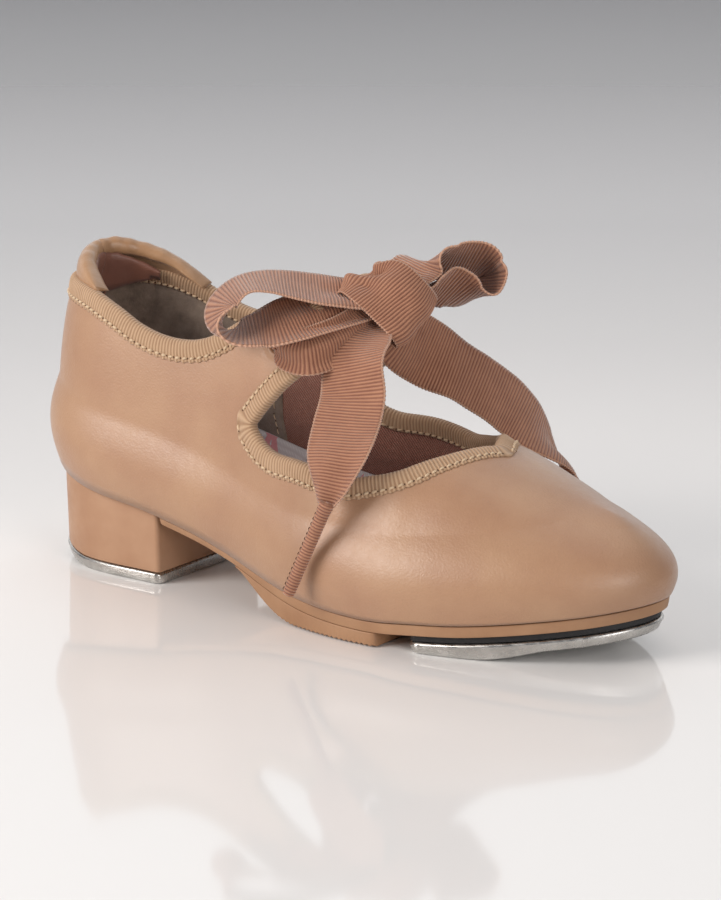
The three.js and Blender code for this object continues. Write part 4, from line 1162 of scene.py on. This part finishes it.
def cloth_shell(name, grid, run, thick=0.2, ribs=0.07):
    """Ribbed cloth round a grid of points: rows along its length, columns across its width."""
    rows, columns = grid.shape[:2]
    ahead, aside = np.gradient(grid, axis=0), np.gradient(grid, axis=1)
    normal = unit(np.cross(ahead, aside))
    u = np.linspace(-1, 1, columns)
    firm = smoothstep(0.93, 0.98, np.abs(u))
    wave = np.cos(2 * np.pi * run / RIBBON_RIB)[:, None]
    half_thick = thick + ribs * wave * (1 - firm) + 0.06 * firm
    grid = grid + unit(aside) * (0.1 * wave * np.sign(u) * firm)[..., None]
    shell = np.concatenate([grid + normal * half_thick[..., None],
                            (grid - normal * half_thick[..., None])[:, ::-1]], axis=1)
    across = np.concatenate([u, u[::-1]]) * (RIBBON_WIDTH / 2)
    marks = np.stack([np.broadcast_to(run[:, None], shell.shape[:2]),
                      np.broadcast_to(across, shell.shape[:2]), np.zeros(shell.shape[:2])], axis=-1)
    faces = rows_faces(rows, 2 * columns, around=True)
    for row in (0, rows - 1):
        for k in range(columns - 1):
            a = row * 2 * columns
            face = (a + k, a + k + 1, a + 2 * columns - 2 - k, a + 2 * columns - 1 - k)
            faces.append(face if row else face[::-1])
    return make_piece(name, shell, faces, ribbon_cloth, marks)


def ribbon(name, stations, node, body="rear", folds=1.5, phase=0.4):
    """A length of ribbon. A station is its middle, its direction across, its width and its cup.
    Where it is narrower than the ribbon the rest of the width goes into lengthwise folds."""
    count = 40 * (len(stations) - 1)
    middles = catmull([s[0] for s in stations], count)
    acrosses = catmull([s[1] for s in stations], count)
    widths = catmull([[s[2]] for s in stations], count)[:, 0]
    cups = catmull([[s[3] if len(s) > 3 else 0.0] for s in stations], count)[:, 0]
    far = lengths(middles)
    run = np.linspace(0, far[-1], int(far[-1] / RIBBON_STEP))
    middle = np.stack([np.interp(run, far, middles[:, k]) for k in range(3)], axis=-1)
    across = np.stack([np.interp(run, far, acrosses[:, k]) for k in range(3)], axis=-1)
    width, cup = np.interp(run, far, widths), np.interp(run, far, cups)
    way = unit(np.gradient(middle, axis=0))
    across = unit(across - way * dot(across, way)[:, None])
    out = np.cross(way, across)
    u = np.linspace(-1, 1, 17)
    spare = np.sqrt(np.maximum((RIBBON_WIDTH / width) ** 2 - 1, 0))
    deep = np.minimum(spare * width / (2 * np.pi * folds) * 0.6, 0.9)[:, None]
    fold = deep * np.sin(np.pi * folds * (u + 1) + phase)
    lift = fold * (1 - 0.3 * u**2) + (cup[:, None] * (u**2 - 0.33))
    spread = across[:, None] * (u * (width[:, None] / 2))[..., None]
    grid = middle[:, None] + spread + out[:, None] * lift[..., None]
    made = cloth_shell(name, grid, run)
    length = far[-1] * MM
    if body == "both":
        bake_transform(made)
    else:
        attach(made, body)
    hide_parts(node)
    return made, length


near_loop, near_loop_length = ribbon("bow_loop_near", [
    ((101.5, -5.5, 82.6), (0.62, -0.72, -0.3), 14.5),
    ((97.2, -10.6, 83.6), (0.62, -0.74, -0.25), 16.5, 0.3),
    ((92.8, -14.9, 84.6), (0.62, -0.74, -0.22), 18, 0.4),
    ((88, -19.2, 85.9), (0.63, -0.74, -0.18), 18, 0.3),
    ((83.2, -23.6, 86.9), (0.67, -0.72, -0.1), 18, 0.2),
    ((78.9, -27.9, 86.2), (0.74, -0.68, -0.03), 18, 0.2),
    ((75.8, -31.4, 82.2), (0.82, -0.57, -0.04), 18),
    ((75.8, -33.5, 78.8), (0.84, -0.55, 0.04), 18),
    ((77.6, -34, 76), (0.8, -0.59, 0), 18),
    ((81, -32.5, 75), (0.78, -0.61, -0.12), 18),
    ((85.2, -29, 75.7), (0.78, -0.58, -0.24), 18, -0.4),
    ((90.3, -24.8, 77.6), (0.76, -0.5, -0.42), 17.5, -0.8),
    ((95.8, -17, 79.3), (0.72, -0.45, -0.5), 15, -0.8),
    ((101.5, -7, 80.5), (0.7, -0.4, -0.55), 11),
], "ribbon_loop_near", phase=0.2)
far_loop, far_loop_length = ribbon("bow_loop_far", [
    ((102.4, 1.5, 82), (-0.92, 0.32, 0.21), 11),
    ((102.6, 7.8, 84.2), (-0.92, 0.32, 0.21), 15),
    ((104.2, 14.1, 87.4), (-0.91, 0.37, 0.16), 18, 0.4),
    ((105.7, 17.3, 88.6), (-0.78, 0.42, -0.45), 18, 0.4),
    ((107.8, 21.2, 87.8), (-0.64, 0.4, -0.66), 18),
    ((110.4, 25.4, 87.6), (-0.6, 0.38, -0.7), 18),
    ((112.8, 28.5, 87), (-0.62, 0.4, -0.66), 18),
    ((114.8, 30.4, 85.6), (-0.72, 0.48, -0.48), 18),
    ((116, 30.6, 83.6), (-0.83, 0.55, -0.16), 18),
    ((115.4, 27.8, 79), (-0.81, 0.54, -0.22), 18),
    ((112.9, 24.5, 78.6), (-0.77, 0.47, -0.44), 18),
    ((110.6, 21.8, 80.3), (-0.66, 0.35, -0.67), 18),
    ((108.4, 18.6, 81.7), (-0.62, 0.35, -0.71), 18),
    ((107, 14.7, 81.6), (-0.68, 0.46, -0.57), 17),
    ((106, 10.6, 81), (-0.69, 0.63, -0.36), 15),
    ((104.8, 4, 80.5), (-0.69, 0.63, -0.36), 11),
], "ribbon_loop_far", phase=0.9)
near_tail, near_tail_length = ribbon("bow_tail_near", [
    ((101.5, -2, 80), (0.8, -0.3, -0.5), 10, 0.4),
    ((102.6, -7.6, 77.6), (0.84, -0.25, -0.5), 14.5, 0.6),
    ((105, -14.2, 73.4), (0.93, -0.1, -0.36), 17.5, 0.8),
    ((107.6, -19.6, 68), (0.99, -0.01, -0.02), 18, 0.7),
    ((109.9, -22.7, 60.6), (0.98, 0.19, 0.07), 18, 0.5),
    ((111.3, -27.4, 54.4), (0.96, 0.28, 0.08), 18, 0.3),
    ((113, -33.4, 48.3), (0.96, 0.22, 0.15), 17, 0.2),
    ((113.9, -37.3, 42), (0.97, 0.15, 0.15), 11),
    ((113.4, -38.9, 36.6), (0.97, 0.1, 0.2), 4.6),
], "ribbon_tail_near", folds=1.0, phase=0.0)
far_tail, far_tail_length = ribbon("bow_tail_far", [
    ((104.4, 0, 75.5), (-0.2, -0.5, -0.83), 13, 0.3),
    ((106.4, 3.8, 70.6), (-0.2, -0.5, -0.83), 17, 0.5),
    ((109.2, 10.7, 65.6), (-0.1, -0.56, -0.82), 18, 0.6),
    ((114.5, 16.4, 61.1), (0.15, -0.77, -0.62), 18, 0.5),
    ((118.6, 20.4, 57.3), (0.11, -0.83, -0.54), 18, 0.4),
    ((122.4, 24.1, 53.5), (0.08, -0.89, -0.45), 18, 0.4),
    ((125.3, 27.4, 49.6), (0.05, -0.94, -0.35), 18, 0.4),
    ((128.6, 30.6, 45.2), (0.17, -0.95, -0.24), 18, 0.3),
    ((131.8, 34, 40.2), (0.31, -0.94, 0.1), 17),
    ((134.2, 37, 35), (0.55, -0.8, 0.3), 12),
    ((136, 38.6, 29.5), (0.9, -0.3, 0.3), 4.6),
], "ribbon_tail_far", body="both", folds=1.0, phase=0.0)


def lead_stations(side):
    """From inside the lace hole, out over the tab's edge and into the knot."""
    centre, normal = last_point(*HOLE, side), last_normal(*HOLE, side)

    def mirrored(x, y, z):
        return (x, -side * y, z)

    return [
        (centre - normal * 4.4, (0.3, 0, -1), 5.2),
        (centre + normal * 0.5, (0.3, 0, -1), 5.6),
        (centre + normal * 3.2, (0.35, 0, -1), 7.5),
        (mirrored(91, -26.6, 71.6), mirrored(0.3, -0.2, -0.95), 11, 0.8),
        (mirrored(97.5, -25, 71.2), mirrored(0.3, -0.2, -0.95), 12.5, 1.0),
        (mirrored(101.5, -18, 73), mirrored(0.2, -0.2, -0.95), 12, 0.6),
        (mirrored(103, -11, 75.5), mirrored(0.2, -0.3, -0.95), 11),
        (mirrored(103.8, -4, 79), mirrored(0.2, -0.3, -0.95), 9),
    ]


near_lead, near_lead_length = ribbon("ribbon_strand_near", lead_stations(-1.0), "ribbon_lead_near", folds=1.5)
far_lead, far_lead_length = ribbon("ribbon_strand_far", lead_stations(1.0), "ribbon_lead_far", folds=1.5)

# ---- Knot ----
# One turn of the ribbon wraps the crossing: it comes out of a small pinched hollow at the top, widens
# over the front and folds under at the lower right, its ribs lying along the bow.

BOW_FRONT = np.array([0.5719, -0.7818, 0.2484])
BOW_RIGHT = np.array([0.8071, 0.5904, 0])
KNOT_MIDDLE = np.array([104.6, -1.2, 81.2])
bow_way = unit(np.array([0.30, 0.78, 0.52]))
knot_front = unit(BOW_FRONT - bow_way * dot(BOW_FRONT, bow_way))
knot_down = np.cross(knot_front, bow_way)
if knot_down[2] > 0:
    knot_down = -knot_down


def knot_grid():
    turn = np.radians(np.linspace(-135, 235, int(370 / 360 * 46 / RIBBON_STEP)))[:, None]
    u = np.linspace(-1, 1, 29)[None, :]
    pinch = np.exp(-(((turn + 1.35) / 0.55) ** 2))
    reach_front, reach_down = 6.9, 9.6
    radius = 1 + 0.05 * np.sin(2.4 * u + 2.2 * turn) + 0.035 * np.sin(5.2 * u - 1.3 * turn)
    radius = radius - 0.10 * u**2 + 0.4 * np.exp(-(((turn - 1.0) / 0.5) ** 2)) * (0.7 - 0.3 * u)
    radius = radius - 0.55 * pinch * np.exp(-(((u - 0.42) / 0.3) ** 2))
    radius = radius + 0.10 * pinch * np.exp(-(((u + 0.2) / 0.3) ** 2))
    radius = radius - 0.14 * np.exp(-(((turn + 0.75) / 0.3) ** 2)) * np.exp(-(((u + 0.25) / 0.22) ** 2))
    width = 8.7 * (1 - 0.28 * pinch - 0.22 * np.exp(-(((turn - 2.2) / 0.7) ** 2)))
    shift = -1.6 * pinch + 1.0 * np.sin(turn)
    place = KNOT_MIDDLE + (knot_front * (reach_front * radius * np.cos(turn))[..., None]
                           + knot_down * (reach_down * radius * np.sin(turn))[..., None]
                           + bow_way * (u * width + shift)[..., None])
    drift = np.linspace(0.5, -0.9, len(turn))[:, None]
    return place + (knot_front * np.cos(turn)[..., None] + knot_down * np.sin(turn)[..., None]) * drift[..., None]


grid = knot_grid()
knot = cloth_shell("bow_knot_wrap", grid, lengths(grid[:, 14]), thick=0.24, ribs=0.1)
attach(knot, "rear")
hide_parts("ribbon_knot")

# ---- Ribbon tips ----
# Each end is folded narrow, rolled into a round tip and closed with a row of dark stitches.


def tip(name, start, end, node, body):
    start, end = np.array(start, float), np.array(end, float)
    way = unit(end - start)
    seam_way = unit(np.cross(way, BOW_FRONT))
    if dot(seam_way, BOW_RIGHT) > 0:
        seam_way = -seam_way
    other = np.cross(way, seam_way)
    length = float(np.linalg.norm(end - start))
    run = np.linspace(-1.5, length, int(length / RIBBON_STEP))
    turns = np.linspace(0, 2 * np.pi, 28, endpoint=False)
    shape = np.interp(run, [-1.5, 0, 2, length - 1, length], [2.0, 1.95, 1.75, 1.62, 1.45])
    rib = 0.07 * np.cos(2 * np.pi * run / RIBBON_RIB)
    groove = 1 - 0.2 * np.exp(-((np.minimum(turns, 2 * np.pi - turns) / 0.22) ** 2))
    reach = (shape + rib)[:, None] * groove[None, :]
    middle = (start + way * run[:, None])[:, None]
    rows = (middle + seam_way * (reach * np.cos(turns))[..., None]
            + other * (0.9 * reach * np.sin(turns))[..., None])
    marks = np.stack([np.broadcast_to(run[:, None], reach.shape),
                      np.broadcast_to(turns * 1.7 - 5, reach.shape), np.zeros(reach.shape)], axis=-1)
    faces = rows_faces(len(run), len(turns), around=True, caps=True)
    made = make_piece(name, rows, faces, ribbon_cloth, marks)
    spots = [start + way * s + seam_way * 1.55 for s in np.arange(1, length - 0.6, 1.5)]
    pair = stitches(name + "_stitches", spots, np.repeat([seam_way], len(spots), 0),
                    np.repeat([way], len(spots), 0), 0.9, dark_thread_and_hole_shade, 0.16)
    for part in (made, *pair):
        if body == "both":
            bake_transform(part)
        else:
            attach(part, body)
    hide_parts(node)


tip("bow_tip_near", (113.2, -39, 35.9), (102.8, -40.8, 12), "ribbon_tip_near", "rear")
tip("bow_tip_far", (136.3, 38.7, 28.7), (147, 39.2, 5), "ribbon_tip_far", "both")

# ---- Hidden fasteners and shank ----
# Nails, the long heel screw and the shank are plain steel and hidden in the finished shoe.

for node in ("steel_shank", "heel_screw", "heel_nail_1", "heel_nail_2", "heel_nail_3", "heel_nail_4"):
    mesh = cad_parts[node].data
    mesh.materials.clear()
    mesh.materials.append(steel)
